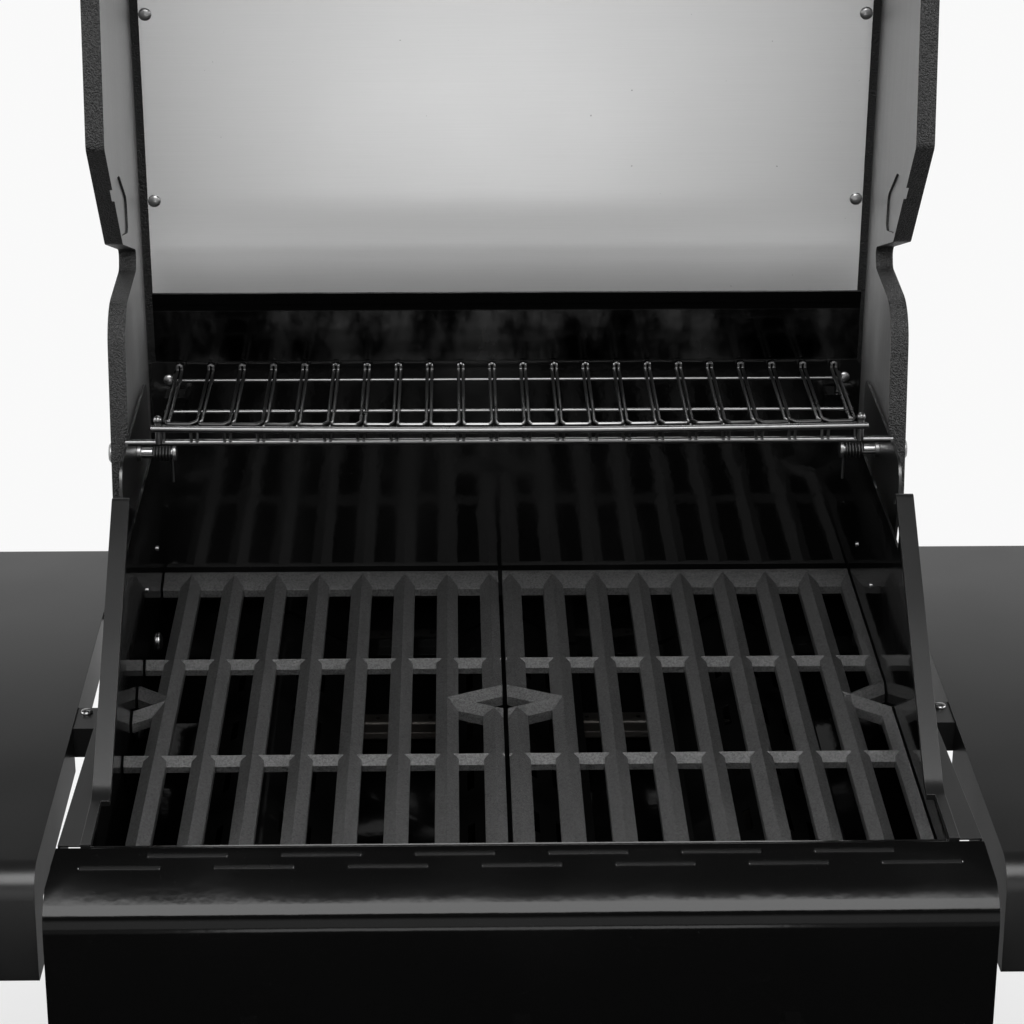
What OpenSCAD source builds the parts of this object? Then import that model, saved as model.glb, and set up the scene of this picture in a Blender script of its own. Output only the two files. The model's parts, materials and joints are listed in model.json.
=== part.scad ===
// Gas barbecue grill on a pedestal cart, lid open.
// Origin: on the floor under the middle of the cabinet. +X right, +Y back, +Z up.
// The lid is drawn closed and then turned open about its hinge.

/* [Cooking box] */
// Height of the cooking surface above the floor
grate_h = 870; // [820:5:920]
// Inside width of the cooking box
cook_w = 533; // [500:1:580]
// Inside depth of the cooking box
cook_d = 455; // [430:1:500]
// How far the cooking box stands behind the middle of the cabinet
box_shift = 12; // [8:1:16]
// Sheet thickness of the cooking box
box_t = 1.6; // [1:0.1:2.5]
// Height of the back wall above the cooking surface
back_wall_h = 172; // [160:1:180]
// Height of the rear shield's hem above the cooking surface
shield_h = 226; // [214:1:228]
// Depth of the vertical walls below the cooking surface
wall_drop = 135; // [125:1:145]
// Drop of the sloping floor to its outlet
funnel_drop = 47; // [35:1:50]
// Width of the grease outlet
outlet_w = 120; // [80:1:160]
// Length of the grease outlet, front to back
outlet_d = 80; // [60:1:120]

/* [Side rims] */
// Height of the front lip above the cooking surface
lip_h = 25; // [20:0.5:28]
// Width of the rolled rim on top of each side wall
rim_w = 12; // [10:0.5:13]
// Thickness of the rolled rim
rim_t = 4; // [3:0.5:6]
// Length of the level front part of the rim
rim_level = 60; // [50:1:80]
// Length of the sloping part of the rim, front to back
rim_run = 177; // [165:1:185]
// Rise of the sloping part of the rim
rim_rise = 133; // [115:1:136]

/* [Control panel] */
// Reach of the panel's face past the inside of the box on each side
panel_over = 26.1; // [22:0.1:28]
// Reach of the panel's top lip past the inside of the box on each side
lip_over = 20.5; // [18:0.1:20.5]
// Length of the sloping strip behind the roll
panel_slope = 30.4; // [28:0.2:36]
// Angle of the sloping strip below level
panel_slope_angle = 32.5; // [28:0.5:36]
// Radius of the roll at the top of the panel
panel_roll = 20; // [15:0.5:24]
// Lean of the panel's face
panel_lean = 3.8; // [2:0.1:5]
// Height of the panel from its lip to its lower edge
panel_h = 190; // [180:1:200]
// Sheet thickness of the panel
panel_t = 1.2; // [1:0.1:1.6]
// Length of a vent slot
slot_l = 51.5; // [40:0.5:60]
// Width of a vent slot
slot_w = 3; // [2:0.1:4]
// Distance between vent slots
slot_pitch = 82.5; // [75:0.5:90]

/* [Lid] */
// Distance from the back wall forward to the lid hinge
hinge_in = 63; // [60:1:66]
// Height of the lid hinge above the cooking surface
hinge_h = 124.5; // [122:0.5:127]
// Distance from the hinge to the lid's sheet
lid_r = 128; // [127:0.5:132]
// Slope of the closed lid's top
lid_slope = 11; // [8:0.5:13]
// Opening angle of the lid
lid_open = 101; // [95:1:103]
// Reach of the lid's front face in front of the lip
lid_front = 15; // [12:0.5:18]
// Radius of the lid's front roll
lid_roll = 75; // [60:1:80]
// Sheet thickness of the lid
lid_t = 1.2; // [1:0.1:1.6]
// Gap between the lid's sheet and each end cap
lid_gap = 6.5; // [5:0.5:8]
// Thickness of a lid end cap
cap_t = 13; // [11:0.5:14]
// Width of an end cap's rim
cap_rim = 10; // [8:0.5:12]
// Length of the lid handle
handle_l = 420; // [300:5:480]
// Radius of the lid handle
handle_r = 11; // [9:0.5:13]
// Stand-off of the lid handle from the lid
handle_off = 46; // [40:1:60]

/* [Cooking grates] */
// Distance between the bars
bar_pitch = 33; // [31:0.5:34]
// Width of a bar
bar_w = 15.8; // [12:0.1:18]
// Height of a bar
bar_h = 12; // [10:0.5:16]
// Height of a bar's ridge above its shoulders
bar_ridge = 5; // [3:0.5:7]
// Number of bars on the left grate
bars_left = 8; // [7:1:8]
// Number of bars on the right grate
bars_right = 9; // [8:1:9]
// Gap between the two grates
grate_gap = 3.3; // [2:0.1:5]

/* [Warming rack] */
// Distance between the wire pairs
wire_pitch = 23.5; // [22:0.1:24]
// Number of wire pairs
wire_pairs = 22; // [16:1:22]
// Diameter of the thin wires
wire_d = 3; // [2.5:0.1:3.6]
// Diameter of the two front rods
rod_d = 5; // [4:0.1:6]
// Height of the rack's wires above the cooking surface
rack_h = 166; // [164:0.5:170]

/* [Burners] */
// Number of burners
burners = 3; // [3:1:3]
// Distance between burners
burner_pitch = 172; // [160:1:176]
// Outer diameter of a burner tube
burner_d = 25.4; // [22:0.2:28]
// Height of the burners below the cooking surface
burner_drop = 115; // [105:1:118]
// Width of a heat tent
tent_w = 110; // [90:1:120]
// Height of a heat tent's ridge below the cooking surface
tent_drop = 36; // [30:1:40]

/* [Controls] */
// Diameter of a knob
knob_d = 52; // [44:0.5:56]
// Length of a knob
knob_l = 27; // [22:0.5:32]
// Travel of a knob when it is pushed
knob_push = 4; // [3:0.5:5]
// Radius of a valve stem
stem_r = 4; // [3:0.1:4.5]
// Travel of the igniter button
button_push = 5; // [3:0.5:6]
// Radius of the igniter button
button_r = 9; // [7:0.5:11]

/* [Side shelves] */
// Width of one side shelf
shelf_w = 329; // [250:1:400]
// Height of the front apron
shelf_apron = 74; // [60:1:78]
// Gap between the control panel and a shelf
shelf_gap = 6.4; // [5:0.1:10]
// Sheet thickness of the shelves
shelf_t = 1; // [0.8:0.1:1.5]

/* [Cart] */
// Width of the cabinet
cart_w = 440; // [420:1:450]
// Depth of the cabinet
cart_d = 400; // [380:1:410]
// Reach of the grease outlet below the cabinet's top edge
outlet_in = 2; // [1:1:4]
// Height of the cabinet's floor
floor_z = 154; // [154:1:170]
// Height of the lower edge of the side panels
side_z = 40; // [30:1:50]
// Sheet thickness of the cart
cart_t = 1.2; // [1:0.1:1.6]
// Width of the side panels' upright flanges
leg_w = 30; // [28:1:36]
// Radius of a wheel
wheel_r = 76; // [70:1:76]
// Width of a wheel
wheel_w = 30; // [24:1:36]
// Radius of the wheel axle
axle_r = 5; // [4:0.5:6]
// Radius of the hole for the gas cylinder's foot ring
ring_r = 104; // [95:1:110]
// Thickness of the door
door_t = 13; // [12:0.5:16]
// Half width of the drip tray
tray_half = 172; // [150:1:178]
// Depth of the drip tray
tray_h = 18; // [12:1:22]
// Radius of the drip cup
cup_r = 42; // [34:1:44]
// Height of the drip cup
cup_h = 64; // [50:1:70]

/* [Hidden] */
seat = 0.3;        // gap where a piece rests on its carrier
run = 0.05;        // running clearance of a pin in its bore, on the radius
eps = 1;           // how far a cutter reaches past a face

// Inner faces of the cooking box
half_w = cook_w / 2;
back_y = box_shift + cook_d / 2;
front_y = box_shift - cook_d / 2;
wall_x = half_w + box_t;
wall_z = grate_h - wall_drop;
funnel_z = wall_z - funnel_drop;
outlet_lip = 6;
lip_y = front_y - 5;
grate_rear = back_y - 5;
cart_top = funnel_z - outlet_lip + outlet_in;

// Control panel
panel_w = cook_w + 2 * panel_over;
panel_lip_w = cook_w + 2 * lip_over;

// Lid hinge and end caps
hinge = [back_y - hinge_in, grate_h + hinge_h];
ear_x = half_w + 8;
ear_t = 2;
cap_x = half_w + 12;
lid_w = 2 * (cap_x - lid_gap);
rim_z = grate_h + lip_h + 0.3;
pin_r = 4;

// Valves: the axis leans with the panel
knob_drop = 112;
knob_h = grate_h - knob_drop;
burner_z = grate_h - burner_drop;
valve_y = front_y - 22;
valve_z = burner_z;
burner_xs = [for (i = [0 : burners - 1]) (i - (burners - 1) / 2) * burner_pitch];
igniter_x = burner_pitch / 2;

$fn = 48;

// ---------------------------------------------------------------- shared shapes

function unit(v) = v / norm(v);
function reverse(p) = [for (i = [len(p) - 1 : -1 : 0]) p[i]];
function polar(r, a) = r * [cos(a), sin(a)];
function left_normal(a, b) = let (u = unit(b - a)) [-u[1], u[0]];

// Points of an arc about c, from angle a0 to a1
function arc(c, r, a0, a1, n = 8) = [for (i = [0 : n]) c + polar(r, a0 + (a1 - a0) * i / n)];

// The corner b between a and c, rounded with radius r
function corner(a, b, c, r, n = 6) =
    let (u = unit(a - b), w = unit(c - b), half = acos(u * w) / 2,
         m = b + unit(u + w) * r / sin(half), s = b + u * r / tan(half),
         turn = cross(b - a, c - b) > 0 ? 1 : -1,
         a0 = atan2(s[1] - m[1], s[0] - m[0]))
    r <= 0 ? [b] : arc(m, r, a0, a0 + turn * (180 - 2 * half), n);

// A path through p with its inner corners rounded by the radii in r
function round_path(p, r, n = 6) =
    [for (i = [0 : len(p) - 1])
        each (i == 0 || i == len(p) - 1) ? [p[i]] : corner(p[i - 1], p[i], p[i + 1], r[i], n)];

// A closed loop through p with every corner rounded
function round_loop(p, r, n = 6) =
    let (k = len(p))
    [for (i = [0 : k - 1]) each corner(p[(i + k - 1) % k], p[i], p[(i + 1) % k], r[i], n)];

// The path moved sideways by d, to its left
function side_path(p, d) =
    [for (i = [0 : len(p) - 1])
        let (n0 = i > 0 ? left_normal(p[i - 1], p[i]) : left_normal(p[0], p[1]),
             n1 = i < len(p) - 1 ? left_normal(p[i], p[i + 1]) : n0, m = n0 + n1)
        p[i] + m * 2 * d / (m * m)];

// Outline of a bent sheet of thickness t to the left of a path
function sheet(p, t) = concat(p, reverse(side_path(p, t)));

// Extrude a (y, z) outline along X, an (x, z) outline along Y, an (x, y) outline along Z
module along_x(x0, x1) translate([x0, 0, 0]) rotate([90, 0, 90]) linear_extrude(x1 - x0) children();
module along_y(y0, y1) translate([0, y1, 0]) rotate([90, 0, 0]) linear_extrude(y1 - y0) children();
module along_z(z0, z1) translate([0, 0, z0]) linear_extrude(z1 - z0) children();

module box(lo, hi) translate(lo) cube(hi - lo);
module rod_x(x0, x1, y, z, r) translate([x0, y, z]) rotate([0, 90, 0]) cylinder(r = r, h = x1 - x0);
module rod_y(y0, y1, x, z, r) translate([x, y0, z]) rotate([-90, 0, 0]) cylinder(r = r, h = y1 - y0);
module rod_z(z0, z1, x, y, r) translate([x, y, z0]) cylinder(r = r, h = z1 - z0);

// Draw on the right side, or mirrored on the left
module on_side(side) mirror([side < 0 ? 1 : 0, 0, 0]) children();
module both_sides() for (side = [-1, 1]) on_side(side) children();

// Domed screw head on a shank that points along -Z from the origin
module screw(head_r, head_h, shank_r, shank_l) {
    rotate_extrude() polygon(concat([[0, 0]], [[head_r, 0], [head_r, head_h * 0.3]],
        [for (a = [20 : 20 : 80]) [head_r * cos(a), head_h * (0.3 + 0.7 * sin(a))]], [[0, head_h]]));
    translate([0, 0, -shank_l]) cylinder(r = shank_r, h = shank_l + 0.1);
}

// ---------------------------------------------------------------- cooking box

// Height of the top of a side wall's rim, from the lip to its rear end
rim_front = lip_y + 0.1;
rim_path = round_path([[rim_front, grate_h + lip_h],
                       [lip_y + rim_level, grate_h + lip_h],
                       [lip_y + rim_level + rim_run, grate_h + lip_h + rim_rise],
                       [lip_y + rim_level + rim_run + 9, grate_h + lip_h + rim_rise - 9]],
                      [0, 24, 5, 0]);
rim_end = rim_path[len(rim_path) - 1];
side_wall_z = hinge[1] - 13;

// Outline of the funnel seen from one side: grow moves it out, top is its open edge
function funnel(half, out, top, grow) = [
    [-half - grow, top], [-half - grow, wall_z - grow], [-out / 2 - grow, funnel_z - grow],
    [-out / 2 - grow, funnel_z - outlet_lip], [out / 2 + grow, funnel_z - outlet_lip],
    [out / 2 + grow, funnel_z - grow], [half + grow, wall_z - grow], [half + grow, top]];

front_ledge = 14;
rear_ledge = 24;
tent_ledge_z = grate_h - tent_drop - 32;
burner_rest_y = back_y - 30;

module firebox() {
    wall_top = side_path(rim_path, -rim_t - 0.05);
    ledge_z = grate_h - bar_h - seat;
    color("#1b1b1c") difference() {
        union() {
            difference() {
                intersection() {
                    along_y(-cook_d, cook_d)
                        polygon(funnel(half_w, outlet_w, grate_h + 400, box_t));
                    translate([0, box_shift, 0]) along_x(-cook_w, cook_w)
                        polygon(funnel(cook_d / 2, outlet_d, grate_h + 400, box_t));
                    // Side walls stop under the rims, the back wall is taller
                    along_x(-cook_w, cook_w) polygon(concat(
                        [[front_y - box_t, 0]], [[front_y - box_t, wall_top[0][1]]], wall_top,
                        [[rim_end[0], side_wall_z], [back_y, side_wall_z],
                         [back_y, grate_h + back_wall_h], [back_y + box_t, grate_h + back_wall_h],
                         [back_y + box_t, 0]]));
                }
                intersection() {
                    along_y(-cook_d, cook_d)
                        polygon(funnel(half_w, outlet_w, grate_h + 500, 0));
                    translate([0, box_shift, 0]) along_x(-cook_w, cook_w)
                        polygon(funnel(cook_d / 2, outlet_d, grate_h + 500, 0));
                }
                // The outlet is open below
                box([-outlet_w / 2, box_shift - outlet_d / 2, funnel_z - outlet_lip - eps],
                    [outlet_w / 2, box_shift + outlet_d / 2, funnel_z]);
            }
            // Ledges for the grates and for the heat tents, front and back
            for (z = [ledge_z, tent_ledge_z])
                box([-half_w - 0.5, front_y - 0.5, z - 2], [half_w + 0.5, front_y + front_ledge, z]);
            box([-half_w - 0.5, back_y - rear_ledge, ledge_z - 2], [half_w + 0.5, back_y + 0.5, ledge_z]);
            box([-half_w - 0.5, back_y - front_ledge, tent_ledge_z - 2],
                [half_w + 0.5, back_y + 0.5, tent_ledge_z]);
            // Rail that carries the rear ends of the burners
            along_x(-half_w + 30, half_w - 30)
                polygon([[burner_rest_y, burner_z - burner_d / 2 - seat - 2],
                         [burner_rest_y, burner_z - burner_d / 2 - seat],
                         [back_y + 0.5, burner_z - burner_d / 2 - seat],
                         [back_y + 0.5, burner_z - burner_d / 2 - seat - 14],
                         [back_y - 2, burner_z - burner_d / 2 - seat - 14],
                         [back_y - 2, burner_z - burner_d / 2 - seat - 2]]);
            // Lugs on the back wall that carry the warming rack
            both_sides() box([half_w - 26, back_y - 9, rack_lug_z - 2],
                             [half_w - 8, back_y + 0.5, rack_lug_z]);
        }
        for (x = burner_xs)
            rod_y(front_y - box_t - eps, front_y + eps, x, burner_z, burner_d / 2 + seat);
        shield_spots() screw_hole(2);
        wall_spots() screw_hole(2.9);
        ear_spots() screw_hole(2);
    }
}

// Shield behind the back wall, up to a hem that the lid closes against
shield_t = 1.2;
hem_h = 8;
module rear_shield() {
    y = back_y + box_t + 0.1;
    half = half_w - 1.5;
    top = grate_h + shield_h;
    color("#202022") difference() {
        union() {
            box([-half, y, grate_h + back_wall_h - 34], [half, y + shield_t, top]);
            // Hem folded flat to the front
            box([-half, y - shield_t - 0.4, top - hem_h], [half, y + 0.1, top]);
        }
        shield_spots() screw_hole(2);
    }
}

// Rolled rim on a side wall, with the level shoulder outside it beside the front lip
shoulder_l = 160;     // length of the shoulder's turned-down edge
shoulder_tail = 70;   // length of its tapered rear end
shoulder_taper = 4;
shoulder_drop = 18;
web_t = 1.5;
web_end = 75;         // height of the web's rear edge above the shoulder
corner_cut = 54;      // length of the step in the inner lip
module wing(side) {
    in_x = half_w - 5.5;
    out_x = in_x + rim_w;
    lip_x = panel_lip_w / 2;
    z = grate_h + lip_h - 0.5;
    y1 = lip_y + shoulder_l;
    y2 = y1 + shoulder_tail;
    color("#2a2a2c") on_side(side) difference() {
        union() {
            along_x(in_x, out_x) polygon(sheet(rim_path, -rim_t));
            // Web that carries the rim outside the wall
            along_x(out_x - web_t, out_x) polygon(concat([[rim_front, z - web_t]], side_path(rim_path, -1),
                [[rim_end[0], z + web_end], [y2, z - web_t]]));
            // Shoulder: a level plate that narrows to the rear, with a turned-down edge
            along_z(z - web_t, z) polygon([[out_x - 1, rim_front], [lip_x, rim_front],
                [lip_x - shoulder_taper, y1], [out_x, y2], [out_x - 1, y2]]);
            along_z(z - shoulder_drop, z) polygon([[lip_x - web_t, rim_front], [lip_x, rim_front],
                [lip_x - shoulder_taper, y1], [lip_x - shoulder_taper - web_t, y1]]);
        }
        // The inner lip is stepped back at the front corner
        box([in_x - eps, lip_y - eps, z - 20], [half_w, lip_y + corner_cut, z + 20]);
    }
}

// Hinge plate outside a side wall: bolted below, set out above to carry the lid
ear_front = hinge[0] - 94;
ear_back = hinge[0] + 80;
ear_top = grate_h + 151;
ear_foot = grate_h + 28;
ear_jog = 16;
ear_step = 8;
stop_r = 5;
// Lower rear edge of the open cap, where the stop stands under it
cap_tail_r = 105;
cap_tail_a = 48;
cap_heel = [38, 0];
stop_mid = (polar(cap_tail_r, cap_tail_a - lid_open)
            + norm(cap_heel) * [cos(-lid_open), sin(-lid_open)]) / 2;
stop_dir = left_normal([0, 0], norm(cap_heel) * [cos(-lid_open), sin(-lid_open)]
                       - polar(cap_tail_r, cap_tail_a - lid_open));
stop_at = hinge + stop_mid + stop_dir * (stop_r + 0.15);

module ear(side) {
    foot_x = wall_x + 0.1;
    color("#3a3a3c") on_side(side) difference() {
        union() {
            intersection() {
                along_y(ear_front, ear_back) polygon(sheet(
                    [[foot_x, ear_foot], [foot_x, ear_foot + ear_jog],
                     [ear_x, ear_foot + ear_jog + ear_step], [ear_x, ear_top]], -ear_t));
                along_x(0, cook_w) polygon(round_loop(
                    [[ear_front + 20, ear_foot], [ear_back - 30, ear_foot], [ear_back, ear_foot + 50],
                     [ear_back, ear_top], [ear_front, ear_top], [ear_front, hinge[1] - 12]],
                    [8, 8, 12, 10, 17, 12]));
            }
            // Stop that the open lid's cap comes down on
            rod_x(ear_x + ear_t - 0.5, cap_x + 6, stop_at[0], stop_at[1], stop_r);
        }
        rod_x(ear_x - eps, ear_x + ear_t + eps, hinge[0], hinge[1], pin_r + run);
        ear_spots_one() screw_hole(2);
        // Notch in which the rack's lower rod rests
        rod_x(ear_x - eps, ear_x + ear_t + eps, rack_rod2[0], rack_rod2[1], rod_d / 2 + seat);
        box([ear_x - eps, rack_rod2[0] - rod_d / 2 - seat, rack_rod2[1]],
            [ear_x + ear_t + eps, rack_rod2[0] + rod_d / 2 + seat, ear_top + eps]);
    }
}

// ---------------------------------------------------------------- control panel

slope_end = [lip_y, grate_h + lip_h]
            + panel_slope * [-cos(panel_slope_angle), -sin(panel_slope_angle)];
panel_low_z = grate_h + lip_h - panel_h;
roll_run = 21;
// Corner where the sloping strip and the panel's face would meet
panel_corner = slope_end + roll_run * [-cos(panel_slope_angle), -sin(panel_slope_angle)];
function panel_y(z) = panel_corner[0] - (panel_corner[1] - z) * tan(panel_lean);
panel_path = round_path([[lip_y, grate_h + lip_h - 16], [lip_y, grate_h + lip_h], panel_corner,
                         [panel_y(panel_low_z), panel_low_z],
                         [panel_y(panel_low_z) + 40, panel_low_z - 1]], [0, 2, panel_roll, 4, 0]);

// Places things on the panel: local -Y is the panel's outward normal
module on_panel(x, z) translate([x, panel_y(z), z]) rotate([-panel_lean, 0, 0]) children();

bezel_hole_r = 15;

module fascia() {
    low = panel_low_z - 5;
    color("#161617") difference() {
        intersection() {
            union() {
                along_x(-panel_w / 2, panel_w / 2) polygon(sheet(panel_path, panel_t));
                // End plates that close the panel's sides
                both_sides() along_x(panel_w / 2 - panel_t, panel_w / 2) polygon(concat(
                    [[lip_y - 2, grate_h]], [for (p = panel_path) if (p[1] < slope_end[1]) p],
                    [[lip_y - 2, panel_low_z]]));
            }
            // Narrower at the lip than at the face
            along_y(-cook_w, cook_w) polygon([[-panel_w / 2, low], [panel_w / 2, low],
                [panel_w / 2, slope_end[1]], [panel_lip_w / 2, grate_h + lip_h + eps],
                [-panel_lip_w / 2, grate_h + lip_h + eps], [-panel_w / 2, slope_end[1]]]);
        }
        // Two rows of vent slots in the sloping strip
        translate([0, lip_y, grate_h + lip_h]) rotate([panel_slope_angle, 0, 0]) {
            for (i = [-2.5 : 2.5]) slot_cut(i * slot_pitch, -7.8);
            for (i = [-3 : 3]) slot_cut(i * slot_pitch, -16);
        }
        for (x = burner_xs) on_panel(x, knob_h)
            rod_y(-eps, panel_t * 2 + eps, 0, 0, bezel_hole_r - 2);
        on_panel(igniter_x, knob_h) rod_y(-eps, panel_t * 2 + eps, 0, 0, button_r + 2);
    }
}

module slot_cut(x, y) {
    box([x - slot_l / 2 + slot_w / 2, y - slot_w / 2, -4], [x + slot_l / 2 - slot_w / 2, y + slot_w / 2, 4]);
    for (s = [-1, 1]) rod_z(-4, 4, x + s * (slot_l - slot_w) / 2, y, slot_w / 2);
}

// ---------------------------------------------------------------- grates

split_x = -5.5;    // the gap between the grates stands a little left of the middle
grate_d = grate_rear - lip_y - 10;
cross_w = 14;
cross_ys = [146, 291, grate_d - cross_w / 2];
rear_bar = 20;
side_gap = 1;
hold_back = 212;   // from the rear edge to the finger holds

// Bar section: shoulders and a low ridge, top at z = 0
function bar_section(w, off = 0) = [[off - w / 2, -bar_h], [off + w / 2, -bar_h],
    [off + w / 2, -bar_ridge], [off, 0], [off - w / 2, -bar_ridge]];

// A bar from p to q
module bar(p, q) translate([p[0], p[1], 0]) rotate([0, 0, atan2(q[1] - p[1], q[0] - p[0])])
    along_x(0, norm(q - p)) polygon(bar_section(bar_w));

// A finger hold at an edge of a grate, a long and 2 * half wide, between two short bars that
// run from the ridge of a long bar to the edge: [edge, way in, ridge end, half width at the edge]
function hold(edge, way, ridge, half, a) =
    let (slope = half / a, end = half + bar_w / 2 * sqrt(1 + slope * slope))
    [edge, way, [ridge, end - slope * ridge], end];
function hold_v(h, u) = h[3] + (h[2][1] - h[3]) * u / h[2][0];
module at_hold(h) translate([h[0], -hold_back, 0]) mirror([h[1] < 0 ? 1 : 0, 0, 0]) children();

// One grate between x0 and x1; the bars' centres and the finger holds are given
module grate(x0, x1, bars, holds) {
    color("#4a4a4a") translate([0, grate_rear, grate_h]) intersection() {
        union() {
            difference() {
                for (x = bars) bar([x, -grate_d - eps], [x, 0]);
                for (h = holds) let (u = h[2][0] - bar_w / 2) at_hold(h) along_z(-bar_h - eps, eps)
                    polygon([[-eps, -hold_v(h, -eps)], [u, -hold_v(h, u)], [u, hold_v(h, u)],
                             [-eps, hold_v(h, -eps)]]);
            }
            for (h = holds, s = [-1, 1]) at_hold(h) bar([h[2][0], s * h[2][1]], [-8, s * hold_v(h, -8)]);
            // Low cross bars, and the bevelled one at the back with a level edge
            for (y = cross_ys) translate([0, -y, 0]) along_x(x0, x1)
                polygon([[-cross_w / 2, -bar_h], [cross_w / 2, -bar_h],
                         [cross_w / 2, -bar_ridge - 2.5], [0, -2.5], [-cross_w / 2, -bar_ridge - 2.5]]);
            along_x(x0, x1) polygon([[-rear_bar, -bar_h], [0, -bar_h], [0, 0], [-4, 0],
                [-rear_bar, -bar_ridge - 1]]);
        }
        box([x0, -grate_d, -bar_h - eps], [x1, 0, eps]);
    }
}

module grate_left() {
    edge = split_x - grate_gap / 2;
    wall = -half_w + side_gap;
    xs = [for (k = [0 : bars_left - 1]) split_x - bar_w / 2 - k * bar_pitch];
    grate(wall, edge, xs, [hold(edge, -1, edge - xs[1], 9.5, 20),
                           hold(wall, 1, xs[bars_left - 1] - wall, 9, 12)]);
}

module grate_right() {
    edge = split_x + grate_gap / 2;
    wall = half_w - side_gap;
    xs = [for (k = [0 : bars_right - 1]) split_x + bar_w / 2 + k * bar_pitch];
    grate(edge, wall, xs, [hold(edge, 1, xs[1] - edge, 9.5, 20),
                           hold(wall, -1, wall - xs[bars_right - 2], 10, 13)]);
}

// ---------------------------------------------------------------- warming rack

rack_back = back_y - 3;
rack_front = back_y - 112;
rack_rod1 = [rack_front, grate_h + rack_h - 3];
rack_rod2 = [rack_front + 3, grate_h + rack_h - 15];
rod1_bow = 6;      // how far the front rod is bowed forward in its middle
rod1_r = (pow(half_w, 2) + pow(rod1_bow, 2)) / (2 * rod1_bow);
rear_rise = 5;     // how far the wires' rear ends turn up
stud_x = half_w - 14;
function rod1_y(x) = rack_front - rod1_bow + rod1_r - sqrt(pow(rod1_r, 2) - pow(x, 2));
rack_lug_z = grate_h + rack_h - 19;
wire_gap = 4.5;

module warming_rack() {
    z = grate_h + rack_h;
    r = wire_d / 2;
    half = (wire_pairs - 1) / 2 * wire_pitch;
    color("#c9c9cc") union() {
        for (i = [0 : wire_pairs - 1]) {
            x = (i - (wire_pairs - 1) / 2) * wire_pitch;
            for (s = [-1, 1]) {
                rod_y(rod1_y(x) + 1, rack_back, x + s * wire_gap / 2, z, r);
                rod_z(z, z + rear_rise, x + s * wire_gap / 2, rack_back - 0.2, r * 0.98);
            }
            // Rear turn joins the two wires of a pair, a leg ties the pair to the lower rod
            rod_x(x - wire_gap / 2, x + wire_gap / 2, rack_back, z + rear_rise - 1, r * 0.9);
            rod_z(rack_rod2[1], z - 1, x, rack_rod2[0], r * 0.9);
            // Front turn joins a pair to the next one
            if (i < wire_pairs - 1)
                rod_x(x + wire_gap / 2, x + wire_pitch - wire_gap / 2, rack_front + 3.5, z - 1, r * 0.9);
        }
        // Long cross wires under the pairs
        for (y = [back_y - 81, back_y - 17])
            rod_x(-half - wire_gap, half + wire_gap, y, z - wire_d * 0.75, r * 0.95);
        // Front rod, bowed forward
        bow_a = asin((half_w - 9) / rod1_r);
        translate([0, rack_front - rod1_bow + rod1_r, rack_rod1[1]]) rotate([0, 0, -90 - bow_a])
            rotate_extrude(angle = 2 * bow_a, $fn = 1440)
                translate([rod1_r, 0]) circle(r = rod_d / 2, $fn = 24);
        rod_x(-ear_x - ear_t, ear_x + ear_t, rack_rod2[0], rack_rod2[1], rod_d / 2 * 0.98);
        both_sides() {
            // Upright stud with a round top where the two front rods meet
            rod_z(rack_rod2[1], rack_rod1[1] + 6, stud_x, (rack_rod1[0] + rack_rod2[0]) / 2, 2.6);
            translate([stud_x, (rack_rod1[0] + rack_rod2[0]) / 2, rack_rod1[1] + 6]) sphere(r = 3.4);
            // Rear foot: runs out from the cross wire and down on to the wall's lug
            rod_x(half, half_w - 15, back_y - 17, z - wire_d * 0.75, r * 0.96);
            rod_y(back_y - 18, back_y - 3, half_w - 16, z - wire_d * 0.75, r * 0.94);
            rod_z(rack_lug_z + seat, z - wire_d * 0.7, half_w - 16, back_y - 4.5, r * 0.93);
        }
    }
}

// ---------------------------------------------------------------- fire: tents, burners, ignition

module heat_tent(k) {
    x = burner_xs[k - 1];
    top = grate_h - tent_drop;
    low = tent_ledge_z + seat + 1.2;
    y0 = front_y + 3;
    y1 = back_y - 3;
    path = round_path([[x - tent_w / 2, low], [x - tent_w / 2 + 6, low + 0.8], [x, top],
                       [x + tent_w / 2 - 6, low + 0.8], [x + tent_w / 2, low]], [0, 2, 6, 2, 0]);
    color("#6d6d70") difference() {
        along_y(y0, y1) polygon(sheet(path, -1.2));
        // Two rows of oblong vents in each slope
        for (s = [-1, 1], row = [14, 30], i = [-2 : 2])
            box([x + s * row - 2.5, i * 76 - 14, low - eps], [x + s * row + 2.5, i * 76 + 14, top + eps]);
    }
}

module burner(k) {
    x = burner_xs[k - 1];
    r = burner_d / 2;
    front = valve_y - 2.5;
    rear = back_y - 12;
    color("#8d8d90") difference() {
        union() {
            rod_y(front, rear, x, burner_z, r);
            // Gauze-covered air collar at the front
            rod_y(front + 3, front + 8, x, burner_z, r + 2);
        }
        rod_y(front - eps, rear - 3, x, burner_z, r - 1);
        // Air openings at the mouth
        for (s = [-1, 1]) box([x + s * r - 4, front + 10, burner_z - 5],
                              [x + s * r + 4, front + 19, burner_z + 5]);
        // Flame ports along both sides of the top
        for (i = [0 : 19]) translate([x, front_y + 34 + i * 19, burner_z]) for (a = [-55, 55])
            rotate([0, a, 0]) cylinder(r = 1.6, h = r + eps, $fn = 16);
    }
}

// Channel that carries the flame from burner to burner
module crossover() {
    z = burner_z + burner_d / 2 + 0.2;
    y = back_y - 74;
    half = burner_pitch + 14;
    color("#8d8d90") difference() {
        along_x(-half, half) polygon(sheet(round_path([[y - 16, z], [y - 7, z], [y - 7, z + 9],
            [y + 7, z + 9], [y + 7, z], [y + 16, z]], [0, 1.5, 1.5, 1.5, 1.5, 0], 3), 1));
        for (i = [-8 : 8]) rod_z(z, z + 20, i * 20, y, 2);
    }
}

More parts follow.
